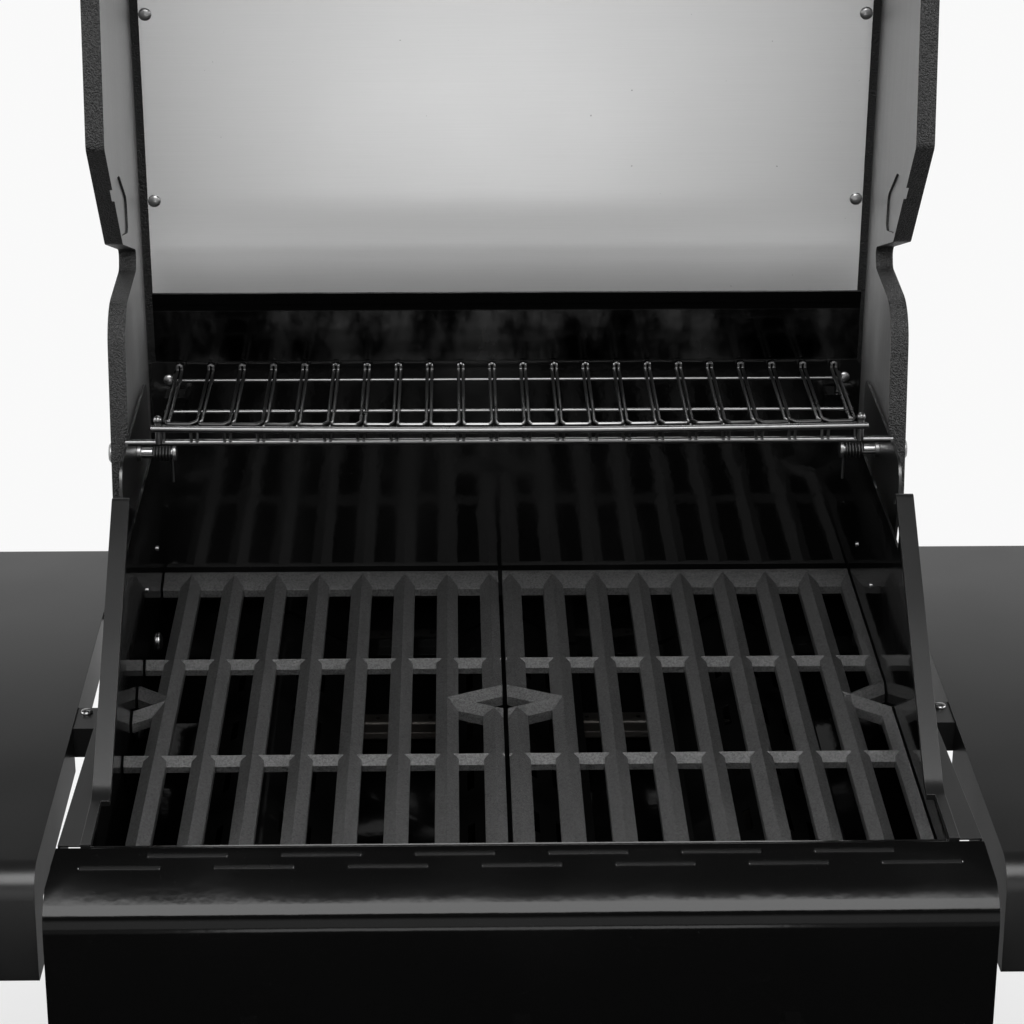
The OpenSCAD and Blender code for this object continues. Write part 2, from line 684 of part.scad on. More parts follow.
electrode_y = front_y + 60;
module electrodes() {
    color("#e8e4dc") for (x = [burner_xs[0], burner_xs[burners - 1]]) {
        r = burner_d / 2;
        // Ceramic rod on a clip that sits on the burner, with a bent wire tip over the ports
        union() {
            box([x - 6, electrode_y - 6, burner_z + r + 0.2], [x + 6, electrode_y + 6, burner_z + r + 1.6]);
            rod_z(burner_z + r + 1, burner_z + r + 16, x, electrode_y, 3.2);
            rod_y(electrode_y - 2, electrode_y + 14, x, burner_z + r + 14, 1);
        }
    }
}

// ---------------------------------------------------------------- gas controls

manifold_r = 9;
valve_tilt = panel_lean;

// Places things on a valve's axis: local -Y runs out along the stem from the orifice
module on_valve(k) translate([burner_xs[k - 1], valve_y, valve_z]) rotate([-valve_tilt, 0, 0]) children();

// The knob's seat: distance from the orifice to the panel along the axis
seat_l = (valve_y - panel_y(valve_z)) * cos(valve_tilt);
body_l = seat_l - 13;
bezel_t = 3;
knob_gap = knob_push + 1;
collar_l = 2.5;
pocket_l = 2 * collar_l + knob_push + 1.8;

module valve(k) {
    color("#b08d4a") difference() {
        union() {
            on_valve(k) {
                // Brass body, flange and orifice
                rod_y(-body_l, -4, 0, 0, 10);
                rod_y(-4, 3, 0, 0, 5);
                rod_y(-body_l + 2, -body_l + 8, 0, 0, 13);
            }
            // Inlet leg down to the manifold
            rod_z(valve_z - 26, valve_z - 6, burner_xs[k - 1], valve_y - 14, 6);
        }
        on_valve(k) {
            rod_y(-body_l - eps, -body_l + pocket_l, 0, 0, stem_r + 2.5);
            rod_y(-body_l + pocket_l - eps, -6, 0, 0, stem_r + run);
            rod_y(-7, 4, 0, 0, 1);
        }
        // The leg is scribed to the manifold pipe
        rod_x(burner_xs[k - 1] - 20, burner_xs[k - 1] + 20, valve_y - 14, manifold_z, manifold_r + 0.1);
    }
}

manifold_z = valve_z - 34;
module manifold() {
    half = burner_pitch + 50;
    color("#8a8a8c") difference() {
        union() {
            rod_x(-half, half, valve_y - 14, manifold_z, manifold_r);
            // Inlet fitting at the right end: hexagon and threaded nose
            translate([half - 1, valve_y - 14, manifold_z]) rotate([0, 90, 0]) {
                cylinder(r = 13, h = 13, $fn = 6);
                cylinder(r = 8, h = 30);
            }
            // Two straps that hang the pipe from the cooking box
            for (s = [-1, 1]) box([s * burner_pitch / 2 - 8 + s * 50, valve_y - 14, manifold_z - 1.5],
                                  [s * burner_pitch / 2 + 8 + s * 50, front_y - box_t - 0.1, manifold_z + 1.5]);
            for (s = [-1, 1]) box([s * burner_pitch / 2 - 8 + s * 50, front_y - box_t - 2, manifold_z - 1.5],
                                  [s * burner_pitch / 2 + 8 + s * 50, front_y - box_t - 0.1, wall_z + 18]);
        }
        rod_x(half - 4, half + 40, valve_y - 14, manifold_z, 4);
    }
}

// Ring that the valve's return spring pushes out against the stem's collar
module spring_cup(k) color("#b9b9bd") on_valve(k) difference() {
    rod_y(-body_l + 1 + collar_l, -body_l + 1 + 2 * collar_l, 0, 0, stem_r + 2.4);
    rod_y(-body_l, -body_l + pocket_l, 0, 0, stem_r + run);
}

// Stem: a round shaft with a flat, and a collar outside the spring cup
module stem(k) color("#a9a9ad") on_valve(k) {
    difference() {
        union() {
            rod_y(-seat_l - bezel_t - knob_gap - 16, -12, 0, 0, stem_r);
            rod_y(-body_l + 1, -body_l + 1 + collar_l - run, 0, 0, stem_r + 2.2);
        }
        box([-stem_r, -seat_l - 40, stem_r * 0.6], [stem_r, -body_l - 4, stem_r * 2]);
    }
}

// Knob: a skirt, a waisted grip with flats, and a raised pointer
module knob(k) {
    y0 = -seat_l - bezel_t - knob_gap;
    r = knob_d / 2;
    color("#17171a") on_valve(k) translate([0, y0, 0]) rotate([90, 0, 0]) difference() {
        union() {
            rotate_extrude($fn = 72) polygon(concat([[0, 0], [r - 2, 0], [r, 2], [r, 5]],
                arc([r - 4, 5], 4, 0, 70, 4), [[r * 0.78, 12], [r * 0.72, 14], [r * 0.7, knob_l - 4]],
                arc([r * 0.7 - 4, knob_l - 4], 4, 0, 90, 4), [[0, knob_l]]));
            // Grip bar with its rounded ends
            box([-5.5, -r * 0.86, 8], [5.5, r * 0.86, knob_l + 3]);
        }
        // Flats each side of the grip
        for (s = [-1, 1]) box([s > 0 ? 9 : -r - eps, -r - eps, 14],
                              [s > 0 ? r + eps : -9, r + eps, knob_l + 9]);
        // Pointer groove and the bore for the stem
        box([-1, r * 0.3, knob_l + 2.2], [1, r, knob_l + 4]);
        translate([0, 0, -eps]) cylinder(r = stem_r + 0.03, h = 16.3 + eps);
        for (a = [0 : 30 : 330]) rotate([0, 0, a + 15]) translate([r + 1.6, 0, -eps]) cylinder(r = 2.6, h = 9);
    }
}

module knob_bezels() color("#b9b9bd") for (k = [1 : burners]) on_valve(k)
    translate([0, -seat_l - 0.1, 0]) rotate([90, 0, 0]) rotate_extrude($fn = 64)
        polygon([[bezel_hole_r - 6, 0], [knob_d / 2 + 5, 0], [knob_d / 2 + 5, 1],
                 [knob_d / 2 + 3, bezel_t], [bezel_hole_r - 6, bezel_t]]);

module igniter_body() color("#222224") on_panel(igniter_x, knob_h) translate([0, -0.1, 0])
    rotate([90, 0, 0]) difference() {
        union() {
            cylinder(r = button_r + 5, h = 3);
            translate([0, 0, -30]) cylinder(r = button_r + 1.8, h = 31);
        }
        translate([0, 0, -16]) cylinder(r = button_r + run, h = 20);
    }

module igniter_button() color("#c23b2e") on_panel(igniter_x, knob_h) translate([0, -0.1, 0])
    rotate([90, 0, 0]) rotate_extrude()
        polygon(concat([[0, -16 + button_push + 0.5], [button_r, -16 + button_push + 0.5],
            [button_r, 3 + button_push]],
            arc([button_r - 2, 3 + button_push], 2, 0, 90, 4), [[0, 5 + button_push]]));

// ---------------------------------------------------------------- side shelves

shelf_x = panel_w / 2 + shelf_gap;
shelf_top = grate_h + lip_h - 6;
shelf_front = lip_y - 25;
shelf_low = shelf_top - shelf_apron;
shelf_path = round_path([[back_y - 4, shelf_top - 34], [back_y, shelf_top], [shelf_front, shelf_top],
                         [shelf_front - shelf_apron * 0.08, shelf_low],
                         [shelf_front + 16, shelf_low - 0.5]], [0, 6, 20, 3, 0]);

module shelf(side) {
    rim = 34;
    side_plate = concat([for (p = shelf_path) if (p[0] < back_y - 4.5 || p[1] > shelf_top - rim) p],
                        [[shelf_front + 30, shelf_top - rim], [back_y - 8, shelf_top - rim]]);
    color("#242426") on_side(side) union() {
        along_x(shelf_x, shelf_x + shelf_w) polygon(sheet(shelf_path, shelf_t));
        // The inner flange is notched where the arms pass
        difference() {
            along_x(shelf_x, shelf_x + shelf_t) polygon(side_plate);
            for (y = arm_ys) box([shelf_x - eps, y - arm_w / 2 - seat, shelf_top - rim - eps],
                                 [shelf_x + 2 * shelf_t, y + arm_w / 2 + seat, shelf_top - shelf_t]);
        }
        along_x(shelf_x + shelf_w - shelf_t, shelf_x + shelf_w) polygon(side_plate);
    }
}

arm_places = [274, 60];   // from the grates' rear edge to the arms
arm_ys = [for (d = arm_places) grate_rear - d];
arm_w = 30;
arm_h = 22;
arm_reach = shelf_w - 29;
// Channel arms from the cooking box out under each shelf
arm_top = shelf_top - shelf_t - seat;
module shelf_arms() color("#303032") for (y = arm_ys) both_sides() difference() {
    z1 = arm_top;
    union() {
        along_x(wall_x + 0.1, shelf_x + arm_reach) polygon(sheet([[y - arm_w / 2, z1 - arm_h],
            [y - arm_w / 2, z1], [y + arm_w / 2, z1], [y + arm_w / 2, z1 - arm_h]], -1.6));
        // Foot plate against the cooking box
        box([wall_x + 0.1, y - arm_w / 2, z1 - arm_h - 20], [wall_x + 2.1, y + arm_w / 2, z1]);
    }
    arm_spot() screw_hole(2);
}

// ---------------------------------------------------------------- cart

cart_x = cart_w / 2;
cart_y = cart_d / 2;
tray_z = cart_top - 17;
// Top edge of the back panel: the drip cup passes over it with its tray
back_top = tray_z - tray_h - cup_h - 20;
axle_x = cart_x - leg_w / 2;
axle_z = wheel_r;

module cart_side(side) {
    t = cart_t;
    color("#2c2c2e") on_side(side) difference() {
        union() {
            along_z(side_z, cart_top) polygon([[cart_x - leg_w, -cart_y], [cart_x, -cart_y], [cart_x, cart_y],
                [cart_x - leg_w, cart_y], [cart_x - leg_w, cart_y - t], [cart_x - t, cart_y - t],
                [cart_x - t, -cart_y + t], [cart_x - leg_w, -cart_y + t]]);
            // Top flange that the cradles stand on, bottom flange that the feet go through
            for (z = [side_z, cart_top - t])
                box([cart_x - leg_w, -cart_y + t / 2, z], [cart_x - t / 2, cart_y - t / 2, z + t]);
        }
        if (side > 0) rod_y(-cart_y - eps, cart_y + eps, axle_x, axle_z, axle_r + run);
        if (side < 0) for (y = [-foot_y, foot_y])
            rod_z(side_z - eps, side_z + t + eps, axle_x, y, foot_stem_r + run);
        // Pressed grip recess line near the top
        rod_x(cart_x - t - eps, cart_x + eps, -36, cart_top - 62, 12);
        rod_x(cart_x - t - eps, cart_x + eps, 36, cart_top - 62, 12);
        box([cart_x - t - eps, -36, cart_top - 74], [cart_x + eps, 36, cart_top - 50]);
    }
}

module cart_back() {
    y = cart_y + 0.1;
    color("#2c2c2e") difference() {
        union() {
            box([-cart_x + 4, y, floor_z + 4], [cart_x - 4, y + cart_t, back_top]);
            // Stiffening bends along its top and bottom edges
            for (z = [floor_z + 4, back_top - cart_t])
                box([-cart_x + 4, y, z], [cart_x - 4, y + 9, z + cart_t]);
        }
        for (i = [-4 : 4]) slot_y(i * 36, back_top - 100, 60, 5, y);
        for (i = [-4 : 4]) slot_y(i * 36, floor_z + 60, 60, 5, y);
    }
}

// Upright vent slot through a panel at y
module slot_y(x, z, l, r, y) {
    box([x - r, y - eps, z], [x + r, y + cart_t + eps, z + l]);
    for (e = [z, z + l]) rod_y(y - eps, y + cart_t + eps, x, e, r);
}

hinge_x = -cart_x + 9;
hinge_y = -cart_y - 10;
door_pin_r = 3;
module base_pan() {
    t = cart_t;
    hx = cart_x - t - 0.3;
    hy = cart_y - t - 0.3;
    color("#262628") difference() {
        union() {
            box([-hx, -hy, floor_z - t], [hx, hy, floor_z]);
            // Raised rim left and right, and turned-down skirts front and back between the legs
            for (s = [-1, 1]) box([s > 0 ? hx - t : -hx, -hy, floor_z - t],
                                  [s > 0 ? hx : -hx + t, hy, floor_z + 18]);
            for (s = [-1, 1]) box([-cart_x + leg_w + 1, s > 0 ? hy - t : -hy, side_z + 22],
                                  [cart_x - leg_w - 1, s > 0 ? hy : -hy + t, floor_z]);
            // Pressed ring that the gas cylinder's foot stands in
            translate([0, 0, floor_z - 0.3]) difference() {
                cylinder(r = ring_r + 8, h = 4.3, $fn = 96);
                translate([0, 0, -eps]) cylinder(r = ring_r, h = 8, $fn = 96);
            }
            // Ear for the door's lower pin, in front of the left leg
            box([-cart_x + leg_w - 6, -cart_y - 17, floor_z - t], [-cart_x + leg_w + 26, -hy + 1, floor_z]);
            box([-cart_x + 2, -cart_y - 17, floor_z - t], [-cart_x + leg_w, -cart_y - 0.2, floor_z]);
        }
        rod_z(floor_z - 8, floor_z + eps, hinge_x, hinge_y, door_pin_r + run);
        // Corner clearance for the legs' flanges
        for (sx = [-1, 1], sy = [-1, 1]) translate([sx * (cart_x - leg_w / 2), sy * (cart_y - 0.75), 0])
            box([-leg_w / 2 - 1, -0.95, floor_z - 3], [leg_w / 2 + 1, 0.95, floor_z + 30]);
        translate([0, 0, floor_z - 5]) cylinder(r = ring_r - 14, h = 12, $fn = 96);
    }
}

// Cross members that carry the cooking box on the side panels
cradle_y = cart_y - 14;
// Height of the sloping floor's underside at y
function floor_under(y) = funnel_z - box_t - 0.7
    + (abs(y - box_shift) - outlet_d / 2) / (cook_d / 2 - outlet_d / 2) * funnel_drop;
module cradles() color("#303032") for (s = [-1, 1]) {
    z = cart_top + 0.1;
    cradle_top = floor_under(s * cradle_y - (s > 0 ? 1 : -1));
    difference() {
        union() {
            box([-cart_x + 3, s * cradle_y - 1, z], [cart_x - 3, s * cradle_y + 1, cradle_top]);
            box([-cart_x + 3, s > 0 ? cradle_y - 22 : -cradle_y - 1, z],
                [cart_x - 3, s > 0 ? cradle_y + 1 : -cradle_y + 22, z + 1.6]);
            // Front one: ear for the door's upper pin
            if (s < 0) box([-cart_x + 3, -cart_y - 17, z], [-cart_x + 26, -cradle_y, z + 1.6]);
        }
        if (s < 0) rod_z(z - eps, z + 3, hinge_x, hinge_y, door_pin_r + run);
    }
}

door_z0 = floor_z + 2.2;
door_z1 = cart_top - 2;
module door() {
    y1 = -cart_y - 3;
    y0 = y1 - door_t;
    x0 = hinge_x - 6;
    x1 = cart_x - 3;
    color("#1e1e20") union() {
        // Front skin with four turned-back edges
        difference() {
            along_z(door_z0, door_z1) polygon(round_loop([[x0, y1], [x0, y0], [x1, y0], [x1, y1]],
                                                         [0, 4, 4, 0]));
            box([x0 + cart_t, y0 + cart_t, door_z0 + cart_t], [x1 - cart_t, y1 + eps, door_z1 - cart_t]);
        }
        // Inner stiffener
        box([x0 + 1, y1 - 1, door_z0 + 1], [x0 + 24, y1, door_z1 - 1]);
        box([x1 - 24, y1 - 1, door_z0 + 1], [x1 - 1, y1, door_z1 - 1]);
        // Pivot pins, top and bottom
        rod_z(door_z1 - 1, cart_top + 1.6, hinge_x, hinge_y, door_pin_r);
        rod_z(floor_z - cart_t, door_z0 + 1, hinge_x, hinge_y, door_pin_r);
        rod_z(door_z1 - 0.5, cart_top - 0.2, hinge_x, hinge_y, door_pin_r + 1.5);
        rod_z(floor_z + 0.2, door_z0 + 0.5, hinge_x, hinge_y, door_pin_r + 1.5);
    }
}

module door_handle() {
    y = -cart_y - 3 - door_t;
    z = door_z1 - 70;
    color("#b9b9bd") union() {
        rod_x(-70, 70, y - 28, z, 6);
        for (s = [-1, 1]) {
            rod_y(y - 28, y - 0.1, s * 62, z, 5);
            rod_y(y - 3, y - 0.1, s * 62, z, 8);
            translate([s * 70, y - 28, z]) sphere(r = 6.05, $fn = 32);
        }
    }
}

module tray_rails() color("#77777a") both_sides() {
    x = cart_x - cart_t - 0.1;
    along_y(-cart_y + 8, cart_y - 8) polygon([[x, tray_z - seat], [x - 38, tray_z - seat],
        [x - 38, tray_z - seat - 1.5], [x - 1.5, tray_z - seat - 1.5],
        [x - 1.5, tray_z - 22], [x, tray_z - 22]]);
}

module drip_tray() {
    front = -cart_y + 32;
    rear = cart_y - 6;
    low = tray_z - tray_h;
    flange_x = cart_x - leg_w - 1;
    t = 1;
    color("#8f8f92") difference() {
        union() {
            difference() {
                box([-tray_half, front, low], [tray_half, rear, tray_z + t]);
                box([-tray_half + t, front + t, low + t], [tray_half - t, rear - t, tray_z + 2 * t]);
            }
            // Side flanges that run on the rails, and a finger lip at the rear
            for (s = [-1, 1]) box([s > 0 ? tray_half - t : -flange_x, front, tray_z],
                                  [s > 0 ? flange_x : -tray_half + t, rear, tray_z + t]);
            box([-90, rear - t, tray_z], [90, rear + 14, tray_z + t]);
            // Channels under the floor that hold the drip cup
            for (s = [-1, 1]) along_y(-cart_y + 40, cup_r + 12) polygon([
                [s * (cup_r + 9), low + 0.5], [s * (cup_r + 9), low - 13], [s * (cup_r + 3), low - 13],
                [s * (cup_r + 3), low - 11.8], [s * (cup_r + 7.8), low - 11.8], [s * (cup_r + 7.8), low + 0.5]]);
            box([-cup_r - 9, cup_r + 10, low - 13], [cup_r + 9, cup_r + 12, low + 0.5]);
        }
        // Drain hole
        rod_z(low - eps, low + t + eps, 0, 0, 14);
    }
}

module drip_cup() {
    low = tray_z - tray_h;
    top = low - 11.8 + seat;
    color("#9a9a9d") translate([0, 0, top]) rotate_extrude($fn = 64)
        polygon([[0, -cup_h], [cup_r - 8, -cup_h], [cup_r - 5, -cup_h + 3], [cup_r, 0], [cup_r + 7, 0],
                 [cup_r + 7, 1.2], [cup_r - 1, 1.2], [cup_r - 6.1, -cup_h + 3.4], [cup_r - 8.5, -cup_h + 1.2],
                 [0, -cup_h + 1.2]]);
}

hub_gap = 0.6;
module wheel(front) {
    y0 = cart_y + hub_gap;
    color("#202022") mirror([0, front ? 1 : 0, 0]) translate([axle_x, y0, axle_z]) rotate([-90, 0, 0])
        difference() {
            rotate_extrude($fn = 96) polygon(concat(
                [[axle_r + run, 0], [15, 0], [16, 8], [wheel_r - 20, 10], [wheel_r - 17, 3], [wheel_r - 6, 1]],
                arc([wheel_r - 6, 7], 6, -90, 0, 5), arc([wheel_r - 6, wheel_w - 7], 6, 0, 90, 5),
                [[wheel_r - 17, wheel_w - 3], [wheel_r - 20, wheel_w - 10], [16, wheel_w - 8],
                 [15, wheel_w], [axle_r + run, wheel_w]]));
            // Openings between the spokes
            for (a = [0 : 60 : 300]) rotate([0, 0, a]) translate([(wheel_r - 2) / 2, 0, -eps])
                cylinder(r = 12.5, h = wheel_w + 2 * eps);
        }
}

module axle() color("#b9b9bd") {
    end = cart_y + hub_gap + wheel_w + 0.4;
    union() {
        rod_y(-end - 1, end + 1, axle_x, axle_z, axle_r);
        for (s = [-1, 1]) translate([axle_x, s * end, axle_z]) rotate([-90 * s, 0, 0])
            rotate_extrude()
                polygon(concat([[0, 0], [axle_r + 5, 0]], arc([axle_r - 1, 0], 6, 0, 80, 5), [[0, 6]]));
    }
}

foot_y = cart_y - 22;
foot_stem_r = 4;
module feet() color("#19191a") for (y = [-foot_y, foot_y]) translate([-axle_x, y, 0]) rotate_extrude()
    polygon([[0, 0], [16, 0], [18, 2], [18, 8], [15, 12], [7, 14], [7, side_z - 0.1],
             [foot_stem_r, side_z - 0.1], [foot_stem_r, side_z + 24], [0, side_z + 24]]);

// ---------------------------------------------------------------- lid

// Top plane of the closed lid: its height at a given y
top_a = 90 + lid_slope;
function lid_top(y) = hinge[1] + (lid_r - (y - hinge[0]) * cos(top_a)) / sin(top_a);
face_y = lip_y - lid_front;
tail_a = 51;
// Inner face of the closed sheet, from the front edge over the top to the rear edge
lid_path = concat([[face_y, rim_z + 1.7]],
    corner([face_y, rim_z], [face_y, lid_top(face_y)], hinge + polar(lid_r, top_a), lid_roll, 10),
    arc(hinge, lid_r, top_a, tail_a, 8));

// Opens whatever is drawn closed
module opened() translate([0, hinge[0], hinge[1]]) rotate([-lid_open, 0, 0])
    translate([0, -hinge[0], -hinge[1]]) children();

// Lid screws: distance along the top plane from the foot of the hinge, and the front face's
screw_s = [154, 297];
screw_x = lid_w / 2 - 5;
face_screw_z = rim_z + 24;
module at_lid_screws() for (s = screw_s) translate([0, hinge[0], hinge[1]]) rotate([lid_slope, 0, 0])
    translate([screw_x, -s, lid_r]) children();
module at_face_screw() translate([screw_x, face_y, face_screw_z]) rotate([90, 0, 0]) children();

module lid_sheet() color("#c4c4c6") opened() difference() {
    union() {
        along_x(-lid_w / 2, lid_w / 2) polygon(sheet(lid_path, lid_t));
        // Folded hem along the front edge
        box([-lid_w / 2, face_y - lid_t, rim_z + 1.7], [lid_w / 2, face_y + 1.4, rim_z + 9.7]);
    }
    both_sides() {
        at_lid_screws() translate([0, 0, -eps]) cylinder(r = 2.55, h = lid_t + 2 * eps);
        at_face_screw() translate([0, 0, -eps]) cylinder(r = 2.55, h = lid_t + 2 * eps);
    }
}

module lid_screws() color("#d8d8da") opened() both_sides() {
    at_lid_screws() rotate([180, 0, 0]) screw(4.8, 2.6, 2.5, 6);
    at_face_screw() rotate([180, 0, 0]) screw(4.8, 2.6, 2.5, 6);
}

// Outline of a closed end cap: over the sheet, then back along the rim
cap_edge = 3.5;
cap_outline = concat(side_path(lid_path, cap_edge), round_path([
    hinge + polar(lid_r + cap_edge, cap_tail_a), hinge + polar(cap_tail_r, cap_tail_a),
    hinge + cap_heel, hinge + [cap_heel[0] - 2, -17.5], hinge + [-107, -17.5],
    hinge + [-127, 63], hinge + [-142, 67], hinge + [-155.7, -14],
    hinge + [-231, rim_z - hinge[1]], [face_y - cap_edge, rim_z]],
    [0, 8, 6, 10, 34, 7, 7, 10, 8, 0], 6));

// Outline of the hollow in a cap's outer face, one rim's width inside the outline
cap_recess = concat([[face_y + cap_rim - cap_edge, rim_z + cap_rim]],
    [for (p = side_path(lid_path, cap_edge - cap_rim)) if (p[0] < hinge[0] + 58 && p[1] > rim_z + cap_rim) p],
    round_path([hinge + [58, 76], hinge + cap_heel - [11, -5], hinge + cap_heel - [11, 7.5],
        hinge + [-99, -7.5], hinge + [-116, 68], hinge + [-125, 76], hinge + [-144, 79],
        hinge + [-151, 73], hinge + [-165, -9], [hinge[0] - 235, rim_z + cap_rim]],
        [0, 4, 8, 24, 6, 4, 4, 6, 6, 0], 5));

module lid_cap(side) {
    ledge_in = lid_w / 2 - 14;
    color("#8e8e90") opened() on_side(side) difference() {
        union() {
            difference() {
                along_x(cap_x, cap_x + cap_t) polygon(cap_outline);
                // Outer face is hollowed inside its rim
                difference() {
                    along_x(cap_x + 4, cap_x + cap_t + eps) polygon(cap_recess);
                    rod_x(cap_x, cap_x + 2 * cap_t, hinge[0], hinge[1], 17.2);
                }
            }
            // Ledge behind the sheet's edge
            along_x(ledge_in, cap_x + 1) polygon(sheet(side_path(lid_path, lid_t + 0.1), 2.2));
        }
        rod_x(cap_x - eps, cap_x + cap_t + eps, hinge[0], hinge[1], pin_r + run);
        at_lid_screws() cylinder(r = 2.55, h = 20);
        at_face_screw() cylinder(r = 2.55, h = 20);
        // Shallow leaf-shaped pocket on the inner face
        along_x(cap_x - eps, cap_x + 1.8) polygon(round_loop([hinge + [-204, -71], hinge + [-206, -22],
            hinge + [-186, 17], hinge + [-160, 22], hinge + [-162, -16]], [4, 12, 12, 5, 8], 4));
    }
}

handle_z = rim_z + 20;
handle_y = face_y - lid_t - handle_off;
post_x = handle_l / 2 - 40;
module lid_handle() color("#c4c4c6") opened() difference() {
    union() {
        rod_x(-handle_l / 2, handle_l / 2, handle_y, handle_z, handle_r);
        both_sides() translate([handle_l / 2, handle_y, handle_z]) rotate([0, 90, 0])
            rotate_extrude() polygon(concat([[0, 0]], arc([handle_r - 4, 0], 4, 0, 90, 5), [[0, 4]]));
    }
    both_sides() rod_y(handle_y, handle_y + 30, post_x, handle_z, 4 + run);
}

module handle_posts() color("#2a2a2c") opened() both_sides()
    translate([post_x, face_y - lid_t - 0.05, handle_z]) rotate([90, 0, 0]) union() {
        // Flange on the lid, waisted post, saddle and spigot at the tube
        rotate_extrude() polygon(concat([[0, 0], [15, 0], [15, 3]], arc([15, 15], 8, -110, -165, 5),
            [[7, handle_off - handle_r - 0.6], [4, handle_off - handle_r - 0.6],
             [4, handle_off - 4], [0, handle_off - 4]]));
    }

module hinge_pins() color("#b9b9bd") both_sides() union() {
    rod_x(half_w - 19, cap_x + cap_t + 0.5, hinge[0], hinge[1], pin_r);
    translate([cap_x + cap_t + 0.3, hinge[0], hinge[1]]) rotate([0, 90, 0]) rotate_extrude()
        polygon([[0, 0], [8, 0], [8, 1.5], [6, 3.2], [0, 3.6]]);
    rod_x(half_w - 21, half_w - 18.6, hinge[0], hinge[1], 6.5);
    rod_x(ear_x - 3.2, ear_x - 0.1, hinge[0], hinge[1], 6.5);
}

// Torsion springs on the pins: close coils with one leg to the hinge plate and one down
spring_turns = 6;
spring_wire = 1.2;
module hinge_springs() color("#d0d0d2") both_sides() {
    x0 = half_w - 17.3;
    r = pin_r + 0.1 + spring_wire;
    union() {
        for (i = [0 : spring_turns - 1]) translate([x0 + i * 2.1 * spring_wire * 0.93, hinge[0], hinge[1]])
            rotate([0, 90, 0]) rotate_extrude($fn = 36) translate([r, 0]) circle(r = spring_wire, $fn = 16);
        rod_x(x0, ear_x - 3.3, hinge[0] - r, hinge[1], spring_wire * 0.95);
        rod_z(hinge[1] - 26, hinge[1], x0 + 0.2, hinge[0] + r, spring_wire * 0.95);
    }
}

// Places of the cooking box's screws: local +Z points out of the head
module shield_spots() both_sides()
    translate([half_w - 11, back_y - 0.1, grate_h + back_wall_h - 14]) rotate([90, 0, 0]) children();
module wall_spots() both_sides() for (y = [grate_rear - 200, grate_rear - 60])
    translate([half_w - 0.1, y, grate_h - 30]) rotate([0, -90, 0]) children();
module ear_spots_one() for (dy = [-50, 24])
    translate([wall_x + 0.2 + ear_t, hinge[0] + dy, ear_foot + ear_jog / 2]) rotate([0, 90, 0]) children();
module ear_spots() both_sides() ear_spots_one() children();
module arm_spot() translate([shelf_x - 6.5, arm_ys[0] + 8, arm_top + 0.1]) children();

module screw_hole(r) translate([0, 0, -8]) cylinder(r = r + run, h = 9);

// Pan-head screws and bolts of the cooking box
module box_screws() color("#c9c9cc") {
    shield_spots() screw(4.2, 2.4, 2, 4.5);
    wall_spots() screw(7, 3.4, 2.9, 5);
    ear_spots() screw(4.2, 2.4, 2, 5);
    both_sides() arm_spot() screw(4.2, 2.4, 2, 5);
}

// ---------------------------------------------------------------- assembly

firebox();
rear_shield();
wing(-1);  // wing_left
wing(1);  // wing_right
ear(-1);  // ear_left
ear(1);  // ear_right
fascia();
grate_left();
grate_right();
for (k = [1 : 3]) {
    heat_tent(k);
    burner(k);
    valve(k);
    spring_cup(k);
    stem(k);
    knob(k);
}
crossover();
electrodes();
manifold();
knob_bezels();
igniter_body();
igniter_button();
shelf(-1);  // shelf_left
shelf(1);  // shelf_right
shelf_arms();
warming_rack();
cart_side(-1);  // cart_side_left
cart_side(1);  // cart_side_right
cart_back();
base_pan();
cradles();
door();
door_handle();
tray_rails();
axle();
feet();
drip_tray();
drip_cup();
wheel(true);  // wheel_front
wheel(false);  // wheel_rear
lid_sheet();
lid_cap(-1);  // lid_cap_left
lid_cap(1);  // lid_cap_right
lid_handle();
handle_posts();
hinge_pins();
hinge_springs();
box_screws();
lid_screws();
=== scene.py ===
"""Gas barbecue grill on a pedestal cart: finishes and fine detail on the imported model."""

import json
import math

import bmesh
import bpy
from mathutils import Matrix, Vector

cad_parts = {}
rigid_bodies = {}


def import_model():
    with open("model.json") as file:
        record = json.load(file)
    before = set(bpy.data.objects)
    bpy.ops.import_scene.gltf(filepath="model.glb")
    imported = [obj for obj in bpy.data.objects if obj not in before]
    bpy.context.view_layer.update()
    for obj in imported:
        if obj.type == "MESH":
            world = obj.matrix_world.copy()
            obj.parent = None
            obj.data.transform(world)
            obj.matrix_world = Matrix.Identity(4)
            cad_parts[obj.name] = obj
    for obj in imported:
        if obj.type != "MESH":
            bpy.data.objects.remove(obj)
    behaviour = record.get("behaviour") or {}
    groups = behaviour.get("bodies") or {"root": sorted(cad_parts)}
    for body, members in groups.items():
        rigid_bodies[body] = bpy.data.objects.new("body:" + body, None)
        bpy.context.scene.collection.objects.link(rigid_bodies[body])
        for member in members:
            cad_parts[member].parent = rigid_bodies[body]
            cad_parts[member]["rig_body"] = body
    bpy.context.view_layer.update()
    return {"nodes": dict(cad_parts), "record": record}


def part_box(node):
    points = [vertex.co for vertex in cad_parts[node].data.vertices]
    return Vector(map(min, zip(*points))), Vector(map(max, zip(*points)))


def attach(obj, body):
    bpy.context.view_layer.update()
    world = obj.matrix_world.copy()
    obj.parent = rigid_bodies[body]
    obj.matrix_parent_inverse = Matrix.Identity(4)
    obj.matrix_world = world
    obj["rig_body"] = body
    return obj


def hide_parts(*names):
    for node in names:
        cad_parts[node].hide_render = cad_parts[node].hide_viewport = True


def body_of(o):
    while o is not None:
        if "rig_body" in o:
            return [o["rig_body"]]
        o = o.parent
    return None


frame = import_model()
SLOTS = {row["node"]: row["material_slot"] for row in frame["record"]["subparts"]}
BODIES = {name: body_of(item)[0] for name, item in frame["nodes"].items()}
MM = 0.001


# ---------------------------------------------------------------- shader maths


